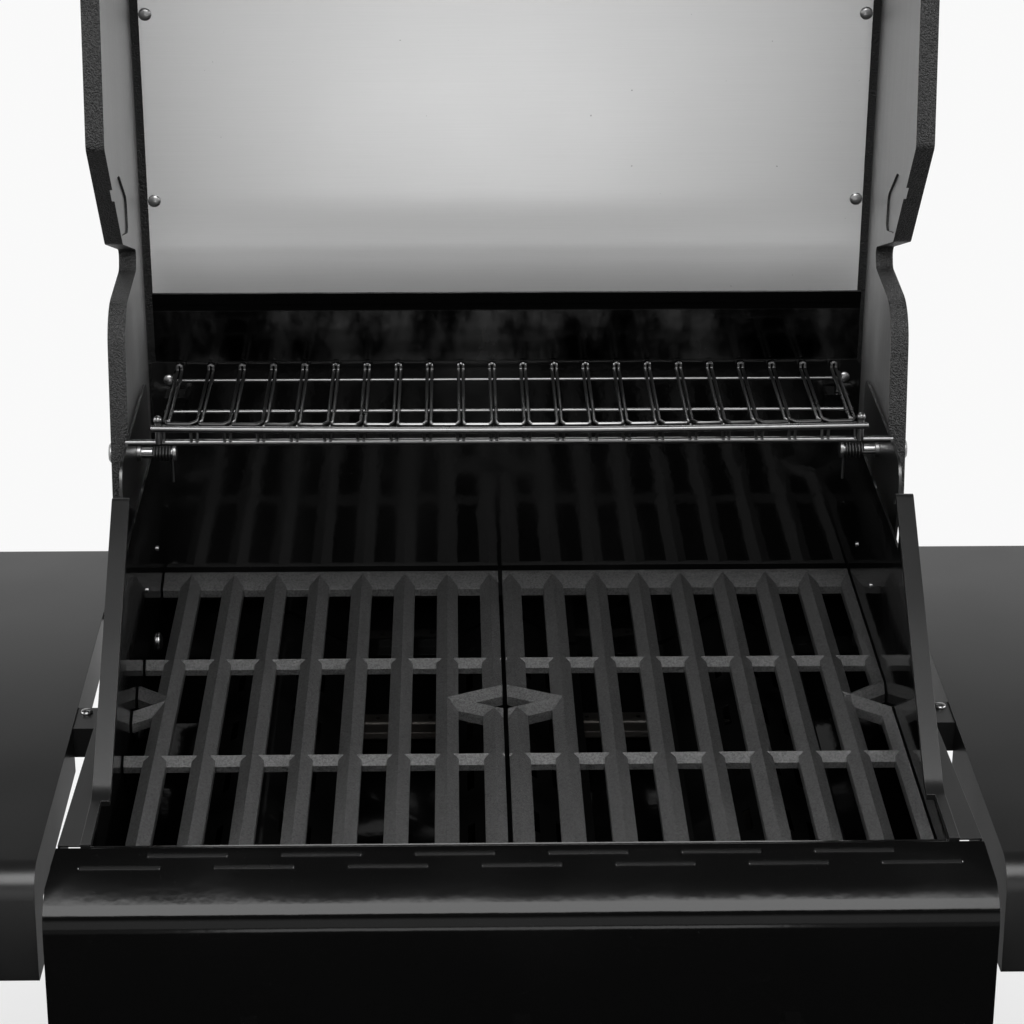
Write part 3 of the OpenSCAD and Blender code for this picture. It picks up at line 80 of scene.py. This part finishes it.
class Val:
    """A number that varies over a surface; arithmetic on it adds Math nodes."""

    def __init__(self, wiring, socket):
        self.wiring, self.socket = wiring, socket

    def maths(self, operation, *values):
        made = self.wiring.node("ShaderNodeMath", dict(operation=operation), *values)
        return Val(self.wiring, made.outputs[0])

    def __add__(self, other):
        return self.maths("ADD", self, other)

    def __sub__(self, other):
        return self.maths("SUBTRACT", self, other)

    def __rsub__(self, other):
        return self.maths("SUBTRACT", other, self)

    def __mul__(self, other):
        return self.maths("MULTIPLY", self, other)

    def __abs__(self):
        return self.maths("ABSOLUTE", self)

    __radd__ = __add__
    __rmul__ = __mul__

    def larger(self, other):
        return self.maths("MAXIMUM", self, other)

    def above(self, low, high):
        """0 below low, 1 above high, smooth between."""
        return self.ramp(low, high, 0.0, 1.0)

    def ramp(self, low, high, first, last):
        """First below low, last above high, smooth between."""
        made = self.wiring.node("ShaderNodeMapRange", dict(interpolation_type="SMOOTHSTEP"),
                                Value=self, From_Min=low, From_Max=high, To_Min=first, To_Max=last)
        return Val(self.wiring, made.outputs["Result"])


class Wiring:
    """The nodes of one material, or of the world."""

    def __init__(self, tree):
        self.tree = tree
        self.tree.nodes.clear()

    def node(self, kind, settings=None, *values, **named):
        made = self.tree.nodes.new(kind)
        for key, value in (settings or {}).items():
            setattr(made, key, value)
        for key, value in list(enumerate(values)) + list(named.items()):
            self.feed(made.inputs[key if isinstance(key, int) else key.replace("_", " ")], value)
        return made

    def feed(self, socket, value):
        if isinstance(value, Val):
            value = value.socket
        if isinstance(value, bpy.types.NodeSocket):
            self.tree.links.new(value, socket)
        elif isinstance(value, tuple) and len(value) == 3 and len(socket.default_value) == 4:
            socket.default_value = (*value, 1)
        else:
            socket.default_value = value

    def rays(self, *kinds):
        """1 for each kind of ray that arrives, such as Camera or Glossy, and 0 for the others."""
        outputs = self.node("ShaderNodeLightPath").outputs
        return [Val(self, outputs[f"Is {kind} Ray"]) for kind in kinds]

    def part_of(self, vector, axis):
        return Val(self, self.node("ShaderNodeSeparateXYZ", None, vector).outputs[axis])

    def mix(self, kind, first_socket, factor, low, high):
        made = self.node("ShaderNodeMix", dict(data_type=kind))
        for index, value in ((0, factor), (first_socket, low), (first_socket + 1, high)):
            self.feed(made.inputs[index], value)
        return made


class Finish(Wiring):
    """A procedural material: one Principled shader and the nodes that vary it."""

    def __init__(self, name, **settings):
        self.material = bpy.data.materials.new(name)
        self.material.use_nodes = True
        super().__init__(self.material.node_tree)
        self.shader = self.node("ShaderNodeBsdfPrincipled")
        self.output = self.node("ShaderNodeOutputMaterial", None, Surface=self.shader.outputs[0])
        self.place = self.node("ShaderNodeTexCoord").outputs["Object"]
        for socket, value in settings.items():
            self.set(socket.replace("_", " "), value)

    def set(self, name, value):
        self.feed(self.shader.inputs[name], value)

    def noise(self, scale, detail=3.0, rough=0.5, stretch=None):
        """Noise from 0 to 1: features per metre, multiplied by the stretch along X, Y and Z."""
        place = self.place
        if stretch:
            place = self.node("ShaderNodeMapping", None, Vector=place, Scale=stretch).outputs[0]
        made = self.node("ShaderNodeTexNoise", None, Vector=place, Scale=scale,
                         Detail=detail, Roughness=rough)
        return Val(self, made.outputs[0])

    def along(self, axis):
        return self.part_of(self.place, axis)

    def facing(self, axis):
        """How far the surface's normal points along an axis of the object, from -1 to 1."""
        return self.part_of(self.node("ShaderNodeNewGeometry").outputs["Normal"], axis)

    def blend(self, factor, low, high):
        return self.mix("RGBA", 6, factor, low, high).outputs[2]

    def bump(self, *layers):
        """Layers of (height, depth in metres)."""
        normal = None
        for height, depth in layers:
            made = self.node("ShaderNodeBump", None, Height=height, Distance=depth, Strength=1.0)
            if normal:
                self.feed(made.inputs["Normal"], normal)
            normal = made.outputs[0]
        self.set("Normal", normal)


def grey(level, warm=0.0):
    return (level * (1 + warm), level, level * (1 - warm))


# ---------------------------------------------------------------- finishes


def enamel():
    """Glossy black vitreous enamel, with a faint orange peel and wiped smears."""
    made = Finish("enamel_black", IOR=1.5, Specular_IOR_Level=0.42)
    smear = made.noise(7, 5, 0.6, (1, 1, 0.4)).above(0.45, 0.75)
    specks = made.noise(900, 1).above(0.79, 0.84)
    made.set("Base Color", made.blend(specks * 0.5 + smear * 0.08, grey(0.002), grey(0.05)))
    made.set("Roughness", 0.06 + smear * 0.10 + specks * 0.2)
    made.bump((made.noise(160, 2), 0.00004), (made.noise(30, 1), 0.0002))
    return made.material


def panel_enamel():
    """The same enamel on the control panel, cleaner and a little deeper."""
    made = Finish("enamel_panel", IOR=1.5, Specular_IOR_Level=0.22)
    dust = made.noise(1400, 1).above(0.74, 0.80)
    made.set("Base Color", made.blend(dust, grey(0.002), grey(0.04)))
    made.set("Roughness", 0.09 + made.noise(9, 4).above(0.4, 0.8) * 0.06)
    made.bump((made.noise(140, 2), 0.00004), (made.noise(18, 1), 0.0003))
    return made.material


def smoked_enamel():
    """Enamel of the rear shield, hazed by smoke, its top band by the folded hem made near black as
    painted shade.
    """
    made = Finish("enamel_shield", Metallic=1.0)
    shield_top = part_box("rear_shield")[1][2]
    # Painted shade: the top 13 to 15 mm of the shield is made near black and rough, standing in
    # for the shade under the fold and dimming the line its edge would mirror.
    hem = made.along(2).above(shield_top - 15 * MM, shield_top - 13 * MM)
    haze = made.noise(16, 5, 0.65, (1, 1, 0.5)).above(0.42, 0.75)
    soot = made.noise(70, 4, 0.7).above(0.55, 0.8)
    clear = made.blend(haze * 0.7 + soot * 0.3, grey(0.006), grey(0.06))
    made.set("Base Color", made.blend(hem, clear, grey(0.002)))
    made.set("Roughness", 0.09 + haze * 0.2 + hem * 0.4)
    made.bump((made.noise(90, 2), 0.00006))
    return made.material


def paint(name, level, rough):
    """Satin black powder coat with a fine grain and specks of dust."""
    made = Finish(name, IOR=1.5, Specular_IOR_Level=0.5)
    cloud = made.noise(11, 4)
    dust = made.noise(1100, 1).above(0.76, 0.82)
    made.set("Base Color", made.blend(dust * 0.3 + cloud * 0.08, grey(level), grey(0.07)))
    made.set("Roughness", rough + cloud * 0.12)
    made.bump((made.noise(750, 2), 0.00003))
    return made.material


def cast_iron():
    """Porcelain-coated cast iron: a sandy skin, paler where it is rubbed."""
    made = Finish("cast_grate", IOR=1.5, Specular_IOR_Level=0.85, Coat_Roughness=0.36,
                  Coat_IOR=1.5)
    patch = made.noise(26, 4, 0.6)
    sand = made.noise(640, 4, 0.9).above(0.40, 0.62)
    rubbed = made.noise(60, 5, 0.7, (1, 0.25, 1)).above(0.62, 0.8)
    tone = patch * 0.2 + sand * 0.6 + rubbed * 0.2
    made.set("Base Color", made.blend(tone, grey(0.001), grey(0.07)))
    made.set("Roughness", 0.34 + sand * 0.16)
    made.set("Coat Weight", sand * 0.9 + patch * 0.1)
    made.bump((sand, 0.00016), (made.noise(160, 3, 0.6), 0.0003))
    return made.material


def cap_casting():
    """Die-cast end cap: satin grey on its inner web, black leather-grained rim and outside."""
    made = Finish("cast_cap", IOR=1.5, Specular_IOR_Level=0.35)
    out = abs(made.along(0))
    web_x, web_deep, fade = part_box("lid_cap_right")[1][0] - 13 * MM, 2.4 * MM, 0.2 * MM
    past_web = out.above(web_x - 3 * fade, web_x - 2 * fade)
    web = past_web * (1 - out.above(web_x + web_deep - fade, web_x + web_deep))
    satin = web * abs(made.facing(0)).above(0.55, 0.8)
    grain = made.noise(760, 2, 0.6).above(0.3, 0.7)
    black = made.blend(grain * past_web, grey(0.004), grey(0.035))
    steel = made.blend(made.noise(300, 2, 0.5, (1, 1, 0.02)), grey(0.40), grey(0.50))
    made.set("Base Color", made.blend(satin, black, steel))
    made.set("Metallic", satin * 0.85)
    made.set("Roughness", 0.42 - satin * 0.02 + grain * 0.06)
    made.bump((grain * (1 - satin), 0.0005), (made.noise(500, 2) * satin, 0.00002))
    return made.material


def brushed_sheet():
    """The lid's steel: fine level brush lines, a few specks, and a dull heat stain at its foot."""
    made = Finish("stainless")
    brush = made.noise(14, 2, 0.6, (1, 130, 130))
    fine = made.noise(30, 2, 0.6, (1, 90, 90))
    cloud = made.noise(5, 4, 0.6)
    specks = made.noise(260, 1).above(0.80, 0.83)
    tone = made.blend(brush * 0.5 + cloud * 0.3, grey(0.64), grey(0.76))
    made.set("Base Color", made.blend(specks * 0.6, tone, grey(0.2)))
    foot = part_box("rear_shield")[1][2]
    stain = 1 - made.along(2).above(foot + 16 * MM, foot + 62 * MM)
    made.set("Metallic", 1 - stain * 0.13)
    made.set("Roughness", 0.27 + cloud * 0.06 + brush * 0.03 + stain * 0.22)
    made.bump((brush, 0.000006), (fine, 0.000003))
    return made.material


def plain_steel(name, level, rough, warm=0.0):
    """Bare or plated sheet and bar: cloudy, with light handling marks."""
    made = Finish(name, Metallic=1.0)
    cloud = made.noise(18, 5, 0.6)
    scratch = made.noise(60, 2, 0.5, (1, 24, 24)).above(0.62, 0.7)
    made.set("Base Color", made.blend(cloud * 0.6, grey(level, warm),
                                      grey(level * 0.55, warm * 1.6)))
    made.set("Roughness", rough + cloud * 0.12 - scratch * 0.06)
    made.bump((scratch, 0.00001), (made.noise(260, 3), 0.00003))
    return made.material


def dark_tent():
    """Heat tents: the same black enamel, dulled by heat."""
    made = Finish("tent_enamel", IOR=1.45, Specular_IOR_Level=0.15)
    ash = made.noise(34, 5, 0.7).above(0.55, 0.8)
    made.set("Base Color", made.blend(ash * 0.5, grey(0.0015), grey(0.012, 0.05)))
    made.set("Roughness", 0.42 + ash * 0.3)
    made.bump((made.noise(500, 3), 0.00003))
    return made.material


def heat_steel():
    """Burner steel toned by heat from straw to brown, all its tones kept near black as painted
    shade for the inside of the firebox.
    """
    made = Finish("burner_steel", Metallic=0.9)
    heat = made.noise(9, 4, 0.6, (1, 2.5, 1))
    # Painted shade: the heat tints sit at a reflectance of only 0.04 to 0.06, far darker than bare
    # steel, so the burners read as dark as the shaded firebox round them.
    straw = made.blend(heat.above(0.3, 0.6), grey(0.06, 0.03), grey(0.045, 0.10))
    made.set("Base Color", made.blend(heat.above(0.62, 0.8), straw, grey(0.04, 0.10)))
    made.set("Roughness", 0.38 + heat * 0.2)
    made.bump((made.noise(400, 2), 0.00003))
    return made.material


def chrome_wire():
    """The rack's plated wire, dulled and browned in patches."""
    made = Finish("bright_wire", Metallic=1.0)
    cloud = made.noise(40, 3)
    burnt = made.noise(120, 3, 0.6).above(0.68, 0.8)
    made.set("Base Color", made.blend(burnt, grey(0.15), grey(0.05, 0.05)))
    made.set("Roughness", 0.24 + cloud * 0.10 + burnt * 0.15)
    made.bump((made.noise(600, 2), 0.00001))
    return made.material


def moulded(name, low, high, rough, grain):
    """Moulded plastic, rubber or ceramic with a fine grain."""
    made = Finish(name, IOR=1.46)
    cloud = made.noise(35, 3)
    scuff = made.noise(90, 4, 0.7).above(0.66, 0.8)
    made.set("Base Color", made.blend(cloud * 0.6 + scuff * 0.4, low, high))
    made.set("Roughness", rough + cloud * 0.08 + scuff * 0.1)
    made.bump((made.noise(1600, 2), grain))
    return made.material


FINISHES = {
    "enamel_black": enamel(),
    "enamel_panel": panel_enamel(),
    "enamel_shield": smoked_enamel(),
    "enamel_lip": paint("enamel_lip", 0.01, 0.2),
    "paint_black": paint("paint_black", 0.004, 0.26),
    "cast_grate": cast_iron(),
    "cast_cap": cap_casting(),
    "stainless": brushed_sheet(),
    "burner_steel": heat_steel(),
    "tent_enamel": dark_tent(),
    "spring_steel": plain_steel("spring_steel", 0.12, 0.3),
    "ear_steel": plain_steel("ear_steel", 0.10, 0.28),
    "bright_wire": chrome_wire(),
    "zinc": plain_steel("zinc", 0.34, 0.24),
    "tray_steel": plain_steel("tray_steel", 0.5, 0.34),
    "brass": plain_steel("brass", 0.5, 0.26, 0.32),
    "ceramic": moulded("ceramic", grey(0.78, 0.02), grey(0.6, 0.06), 0.12, 0.000005),
    "knob_plastic": moulded("knob_plastic", grey(0.018), grey(0.035), 0.24, 0.00002),
    "button_plastic": moulded("button_plastic", (0.32, 0.02, 0.015), (0.42, 0.05, 0.04),
                              0.2, 0.00001),
    "black_plastic": moulded("black_plastic", grey(0.02), grey(0.04), 0.5, 0.00005),
}


# ---------------------------------------------------------------- pieces


def piece(name, bm, body, *nodes, finish=None, sharp=32, bevel=0.0):
    """Makes an object of a bmesh, rides it on its body and lets it stand for its nodes."""
    mesh = bpy.data.meshes.new(name)
    bm.to_mesh(mesh)
    bm.free()
    if "custom_normal" in mesh.attributes:
        mesh.attributes.remove(mesh.attributes["custom_normal"])
    mesh.shade_smooth()
    mesh.set_sharp_from_angle(angle=math.radians(sharp))
    mesh.materials.append(FINISHES[finish or SLOTS[nodes[0]]])
    made = bpy.data.objects.new(name, mesh)
    bpy.context.scene.collection.objects.link(made)
    if bevel:
        soft = made.modifiers.new("edges", "BEVEL")
        soft.width = bevel
        soft.segments = 2
        soft.limit_method = "ANGLE"
        soft.angle_limit = math.radians(sharp)
        soft.harden_normals = True
        soft.use_clamp_overlap = True
    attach(made, body)
    if nodes:
        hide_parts(*nodes)
    return made


def dressed(node, bevel, finish=None):
    """A CAD node's own faces, its flat triangles merged, with soft edges and a finish."""
    bm = bmesh.new()
    bm.from_mesh(frame["nodes"][node].data)
    bmesh.ops.remove_doubles(bm, verts=bm.verts, dist=0.02 * MM)
    bmesh.ops.dissolve_limit(bm, angle_limit=math.radians(0.6), verts=bm.verts, edges=bm.edges,
                             delimit=set(), use_dissolve_boundaries=False)
    piece(node + "_dressed", bm, BODIES[node], node, finish=finish, bevel=bevel)


# ---------------------------------------------------------------- wire work


def ring(bm, start, way, radius, sides):
    """A capped circle that faces along a way, ready to be drawn out; returns its edges."""
    turn = Vector(way).to_track_quat("Z", "Y").to_matrix().to_4x4()
    made = bmesh.ops.create_circle(bm, cap_ends=True, segments=sides, radius=radius,
                                   matrix=Matrix.Translation(start) @ turn)
    return list({edge for vert in made["verts"] for edge in vert.link_edges})


def drawn(bm, edges, way):
    """Draws a ring's edges straight on by a vector."""
    made = bmesh.ops.extrude_edge_only(bm, edges=edges)["geom"]
    bmesh.ops.translate(bm, vec=way,
                        verts=[item for item in made if isinstance(item, bmesh.types.BMVert)])
    return [item for item in made
            if isinstance(item, bmesh.types.BMEdge) and len(item.link_faces) == 1]


def turned(bm, edges, centre, axis, angle, steps, climb=(0, 0, 0)):
    """Draws a ring's edges round a centre, climbing by a vector at each step."""
    made = bmesh.ops.spin(bm, geom=edges, cent=centre, axis=axis, dvec=climb, angle=angle,
                          steps=steps, use_merge=False, use_duplicate=False)
    return [item for item in made["geom_last"] if isinstance(item, bmesh.types.BMEdge)]


def wire(bm, path, radius, bend=2.5 * MM, sides=10, steps=4):
    """Round wire along straight legs, with a round bend at each corner of its path."""
    path = [Vector(point) for point in path]
    here = path[0]
    edges = ring(bm, here, path[1] - path[0], radius, sides)
    for corner, after in zip(path[1:-1], path[2:]):
        way, onward = (corner - here).normalized(), (after - corner).normalized()
        angle = way.angle(onward)
        if angle < 0.01:
            continue
        axis = way.cross(onward).normalized()
        slack = min((corner - here).length * 0.95, (after - corner).length * 0.49)
        cut = min(bend * math.tan(angle / 2), slack)
        round_r = cut / math.tan(angle / 2)
        start = corner - way * cut
        edges = drawn(bm, edges, start - here)
        edges = turned(bm, edges, start + axis.cross(way) * round_r, axis, angle, steps)
        here = corner + onward * cut
    edges = drawn(bm, edges, path[-1] - here)
    bmesh.ops.edgeloop_fill(bm, edges=edges)


def weld(bm, place, radius):
    """A small bead of weld."""
    bmesh.ops.create_icosphere(bm, subdivisions=1, radius=radius,
                               matrix=Matrix.Translation(place))


def warming_rack():
    """Serpentine top of paired wires on two cross wires, a bowed front rod and a lower rod."""
    low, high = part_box("warming_rack")
    count, pitch, half_gap, fan_out = 22, 23.5 * MM, 1.7 * MM, 1.018
    thick, leg, cross, rod = 1.2 * MM, 1.15 * MM, 1.35 * MM, 2.45 * MM
    stud, stud_head = 2.5 * MM, 3.3 * MM
    top = high[2] - 6.4 * MM
    under = top - 15 * MM
    cross_z = top - 2.4 * MM
    rear = high[1] - 1.5 * MM
    lower_y, middle_y, back_y = rear - 106 * MM, rear - 78 * MM, rear - 14 * MM
    reach = (high[0] - low[0]) / 2 - 10 * MM
    bow = 6 * MM
    bow_r = (reach ** 2 + bow ** 2) / (2 * bow)
    bm = bmesh.new()

    def front(x):
        return lower_y - 3 * MM - bow + bow_r - math.sqrt(bow_r ** 2 - x ** 2)

    spots = [(k - (count - 1) / 2) * pitch for k in range(count)]
    path = []
    for x in spots:
        fan = x * fan_out
        lip = front(x) + 4.2 * MM
        pair = [[(fan + side * 3.0 * MM, lip, top - 0.4 * MM),
                 (x + side * half_gap, lip + 4 * MM, top),
                 (x + side * half_gap, rear, top),
                 (x + side * half_gap, rear, top + 5 * MM)] for side in (-1, 1)]
        path += pair[0] + pair[1][::-1]
        for side in (-1, 1):
            foot = (fan + side * 2.1 * MM, lower_y, under)
            knee = (fan + side * 2.7 * MM, lip + 0.4 * MM, top - 1.6 * MM)
            wire(bm, [foot, knee], leg, sides=8)
            weld(bm, (foot[0], lower_y - 1.6 * MM, under + 1.7 * MM), 1.5 * MM)
            for y in (middle_y, back_y):
                weld(bm, (x + side * (half_gap + 1.3 * MM), y, top - 1.9 * MM), 1.3 * MM)
    wire(bm, path[1:-1], thick, bend=1.65 * MM, sides=8, steps=3)
    wire(bm, [(spots[0], middle_y, cross_z), (spots[-1], middle_y, cross_z)], cross)
    foot_x, foot_y, foot_z = reach - 16 * MM, rear - 0.5 * MM, under - 3.6 * MM
    wire(bm, [(-foot_x, foot_y, foot_z), (-foot_x, foot_y, cross_z),
              (-foot_x, back_y, cross_z), (foot_x, back_y, cross_z),
              (foot_x, foot_y, cross_z), (foot_x, foot_y, foot_z)], cross)
    swing = math.asin((reach - 9 * MM) / bow_r)
    middle = Vector((0, front(0) + bow_r, top - 3 * MM))
    start = middle + Vector((-math.sin(swing), -math.cos(swing), 0)) * bow_r
    edges = ring(bm, start, (math.cos(swing), -math.sin(swing), 0), rod, 16)
    edges = turned(bm, edges, middle, (0, 0, 1), 2 * swing, 48)
    bmesh.ops.edgeloop_fill(bm, edges=edges)
    wire(bm, [(low[0], lower_y, under), (high[0], lower_y, under)], rod, sides=16)
    for side in (-1, 1):
        post = (side * (reach - 14 * MM), lower_y - 1.5 * MM)
        wire(bm, [(*post, under), (*post, top + 2.2 * MM)], stud, sides=14)
        bmesh.ops.create_uvsphere(bm, u_segments=14, v_segments=8, radius=stud_head,
                                  matrix=Matrix.Translation((*post, top + 3 * MM)))
    bmesh.ops.recalc_face_normals(bm, faces=bm.faces)
    piece("warming_rack_wires", bm, BODIES["warming_rack"], "warming_rack", sharp=40)


def hinge_springs():
    """Torsion springs wound round the hinge pins, with one arm on the ear and one in the box."""
    low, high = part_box("hinge_springs")
    thick, turns, turn_steps, lead = 1.1 * MM, 5.5, 20, 2.3 * MM
    pin_y = (low[1] + high[1]) / 2
    coil_r = (high[1] - low[1]) / 2 - thick
    pin_z = high[2] - coil_r - thick
    steps = int(turn_steps * turns)
    bm = bmesh.new()
    for side in (-1, 1):
        inner = side * (high[0] - 21.7 * MM)
        climb = side * lead * turns
        wire(bm, [(inner, pin_y + coil_r, low[2] + 0.2 * MM), (inner, pin_y + coil_r, pin_z)],
             thick, sides=8)
        edges = ring(bm, (inner, pin_y + coil_r, pin_z), (0, 0, 1), thick, 8)
        edges = turned(bm, edges, (inner, pin_y, pin_z), (1, 0, 0), math.tau * turns, steps,
                       (climb / steps, 0, 0))
        bmesh.ops.edgeloop_fill(bm, edges=edges)
        wire(bm, [(inner + climb, pin_y - coil_r, pin_z), (side * high[0], pin_y - coil_r, pin_z)],
             thick, sides=8)
    bmesh.ops.recalc_face_normals(bm, faces=bm.faces)
    piece("hinge_spring_coils", bm, BODIES["hinge_springs"], "hinge_springs",
          finish="spring_steel", sharp=40)


def louvres():
    """Pressed hoods over the vent slots in the sloping strip of the panel."""
    rows = ((6, 7.8 * MM), (7, 16 * MM))
    pitch, half, narrowing = 82.5 * MM, 25.5 * MM, 0.93
    slope = math.radians(32.5)
    across = Vector((1, 0, 0))
    down = Vector((0, -math.cos(slope), -math.sin(slope)))
    out = Vector((0, -math.sin(slope), math.cos(slope)))
    strip_top = Vector((0, *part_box("fascia")[1][1:]))
    bm = bmesh.new()
    for count, drop in rows:
        for k in range(count):
            centre = strip_top + across * ((k - (count - 1) / 2) * pitch) + down * drop
            left, right = ([bm.verts.new(centre + across * x * wide + down * below + out * raised)
                            for wide, below, raised in ((1, -3.4 * MM, 0.1 * MM),
                                                        (narrowing, 0.6 * MM, 1.7 * MM),
                                                        (1, 0.8 * MM, 0.1 * MM))]
                           for x in (-half, half))
            faces = [bm.faces.new((left[0], left[1], right[1], right[0])), bm.faces.new(left),
                     bm.faces.new(right)]
            edge = [left[2].co, left[1].co, right[1].co, right[2].co]
            bmesh.ops.recalc_face_normals(bm, faces=faces)
            bmesh.ops.solidify(bm, geom=faces, thickness=0.4 * MM)
            wire(bm, edge, 0.42 * MM, bend=1.6 * MM, sides=8)
    bmesh.ops.recalc_face_normals(bm, faces=bm.faces)
    made = piece("vent_louvres", bm, BODIES["fascia"], finish="enamel_lip", sharp=40)


SOFT_EDGES = {"grate_left": 2.2, "grate_right": 2.2, "lid_cap_left": 0.8, "lid_cap_right": 0.8,
              "door": 1.0, "knob_1": 0.6, "knob_2": 0.6, "knob_3": 0.6, "wheel_front": 0.8,
              "wheel_rear": 0.8, "handle_posts": 0.8, "feet": 0.8, "fascia": 0.0,
              "rear_shield": 0.0, "lid_sheet": 0.0}
OTHER_EDGES = 0.3
OTHER_FINISH = {"fascia": "enamel_panel", "rear_shield": "enamel_shield",
                "ear_left": "ear_steel", "ear_right": "ear_steel",
                **{f"heat_tent_{k}": "tent_enamel" for k in (1, 2, 3)}}
WIRE_WORK = {"warming_rack": warming_rack, "hinge_springs": hinge_springs}

louvres()
for name in frame["nodes"]:
    if name in WIRE_WORK:
        WIRE_WORK[name]()
    else:
        dressed(name, SOFT_EDGES.get(name, OTHER_EDGES) * MM, OTHER_FINISH.get(name))


# ---------------------------------------------------------------- studio


def studio_floor():
    """Pale floor, plain to the eye; to glossy rays its front glows with a painted reflection: a
    dark strip up to about 3 m ahead, then a bright patch beyond that stands in for a softbox
    mirrored in the lid.
    """
    made = Finish("floor_paper", Base_Color=grey(0.62), Roughness=0.9, Specular_IOR_Level=0.1)
    camera_ray, passed, mirrored = made.rays("Camera", "Transmission", "Glossy")
    seen = camera_ray.larger(passed)
    length = made.node("ShaderNodeVectorMath", dict(operation="LENGTH"), made.place)
    reach = Val(made, length.outputs["Value"])
    far = 0.25 + reach.above(1.0, 2.6) * 0.75
    across = abs(made.along(0))
    forward = 0 - made.along(1)
    behind = 1 - forward.above(-1.0, 0.4)
    # Painted reflection: only glossy rays see this; the floor in front glows dark up to about 3 m
    # ahead and bright beyond, narrower across, a glowing patch that stands in for a softbox in the
    # metal's reflections.
    painted_light_patch = (1 - across.above(0.4, 0.66) * 0.72) * forward.above(3.0, 3.5)
    strip = made.blend(forward.above(2.85, 3.05), grey(0.05), grey(0.2))
    front = made.blend(painted_light_patch, strip, grey(0.6))
    colour = made.blend(seen, made.blend(behind, front, grey(0.95)), grey(0.95))
    glow = made.node("ShaderNodeEmission", None, Color=colour, Strength=1.0)
    to_eye = seen * (0.6 + reach.above(0.5, 1.8) * 0.4)
    to_metal = mirrored * (far * behind).larger(1 - behind)
    both = made.node("ShaderNodeMixShader", None, to_eye.larger(to_metal),
                     made.shader.outputs[0], glow.outputs[0])
    made.feed(made.output.inputs["Surface"], both.outputs[0])
    bm = bmesh.new()
    bmesh.ops.create_circle(bm, cap_ends=True, segments=96, radius=14.0)
    mesh = bpy.data.meshes.new("studio_floor")
    bm.to_mesh(mesh)
    bm.free()
    mesh.materials.append(made.material)
    floor = bpy.data.objects.new("studio_floor", mesh)
    bpy.context.scene.collection.objects.link(floor)


def studio_world():
    """White near the horizon and dimmer overhead; faint where it only lights."""
    world = bpy.data.worlds.new("studio")
    bpy.context.scene.world = world
    world.use_nodes = True
    sky = Wiring(world.node_tree)
    camera_ray, mirrored, passed = sky.rays("Camera", "Glossy", "Transmission")
    seen = camera_ray.larger(mirrored).larger(passed)
    height = sky.part_of(sky.node("ShaderNodeTexCoord").outputs["Generated"], 2)
    level = sky.mix("FLOAT", 2, seen, 0.07, height.ramp(0.33, 0.52, 0.97, 0.05))
    glow = sky.node("ShaderNodeBackground", None, Color=grey(1.0), Strength=level.outputs[0])
    sky.node("ShaderNodeOutputWorld", None, Surface=glow.outputs[0])


def softbox(name, place, target, width, height, watts):
    data = bpy.data.lights.new(name, "AREA")
    data.shape = "RECTANGLE"
    data.size, data.size_y = width, height
    data.energy = watts
    lamp = bpy.data.objects.new(name, data)
    lamp.location = place
    way = Vector(target) - Vector(place)
    lamp.rotation_euler = way.to_track_quat("-Z", "Y").to_euler()
    lamp.visible_camera = False
    bpy.context.scene.collection.objects.link(lamp)


def camera():
    """The eye stands in front, above and a little to the left, and looks down."""
    data = bpy.data.cameras.new("camera")
    data.sensor_width = 36.0
    data.lens = 94.92
    eye = Vector((-0.0396, -1.6745, 1.750))
    down, turn, roll = math.radians(23.5), math.radians(1.3), math.radians(0.2)
    ahead = Vector((math.sin(turn) * math.cos(down), math.cos(turn) * math.cos(down),
                    -math.sin(down)))
    level = Vector((math.cos(turn), -math.sin(turn), 0))
    upward = level.cross(ahead)
    right = math.cos(roll) * level + math.sin(roll) * upward
    top = -math.sin(roll) * level + math.cos(roll) * upward
    axes = Matrix((right, top, -ahead)).transposed().to_4x4()
    made = bpy.data.objects.new("camera", data)
    made.matrix_world = Matrix.Translation(eye) @ axes
    bpy.context.scene.collection.objects.link(made)
    bpy.context.scene.camera = made


bpy.context.scene.view_settings.view_transform = "Standard"
camera()
studio_world()
studio_floor()
softbox("lamp_front", (0, -1.35, 2.9), (0, -0.2, 0.9), 1.7, 1.5, 62)
softbox("lamp_low", (0.03, -3.2, 0.27), (0, 0.3, 1.0), 0.98, 0.36, 3.0)
softbox("lamp_left", (-2.4, -0.1, 1.95), (0, 0, 0.9), 1.2, 0.8, 32)
softbox("lamp_right", (2.4, -0.1, 1.95), (0, 0, 0.9), 1.2, 0.8, 32)
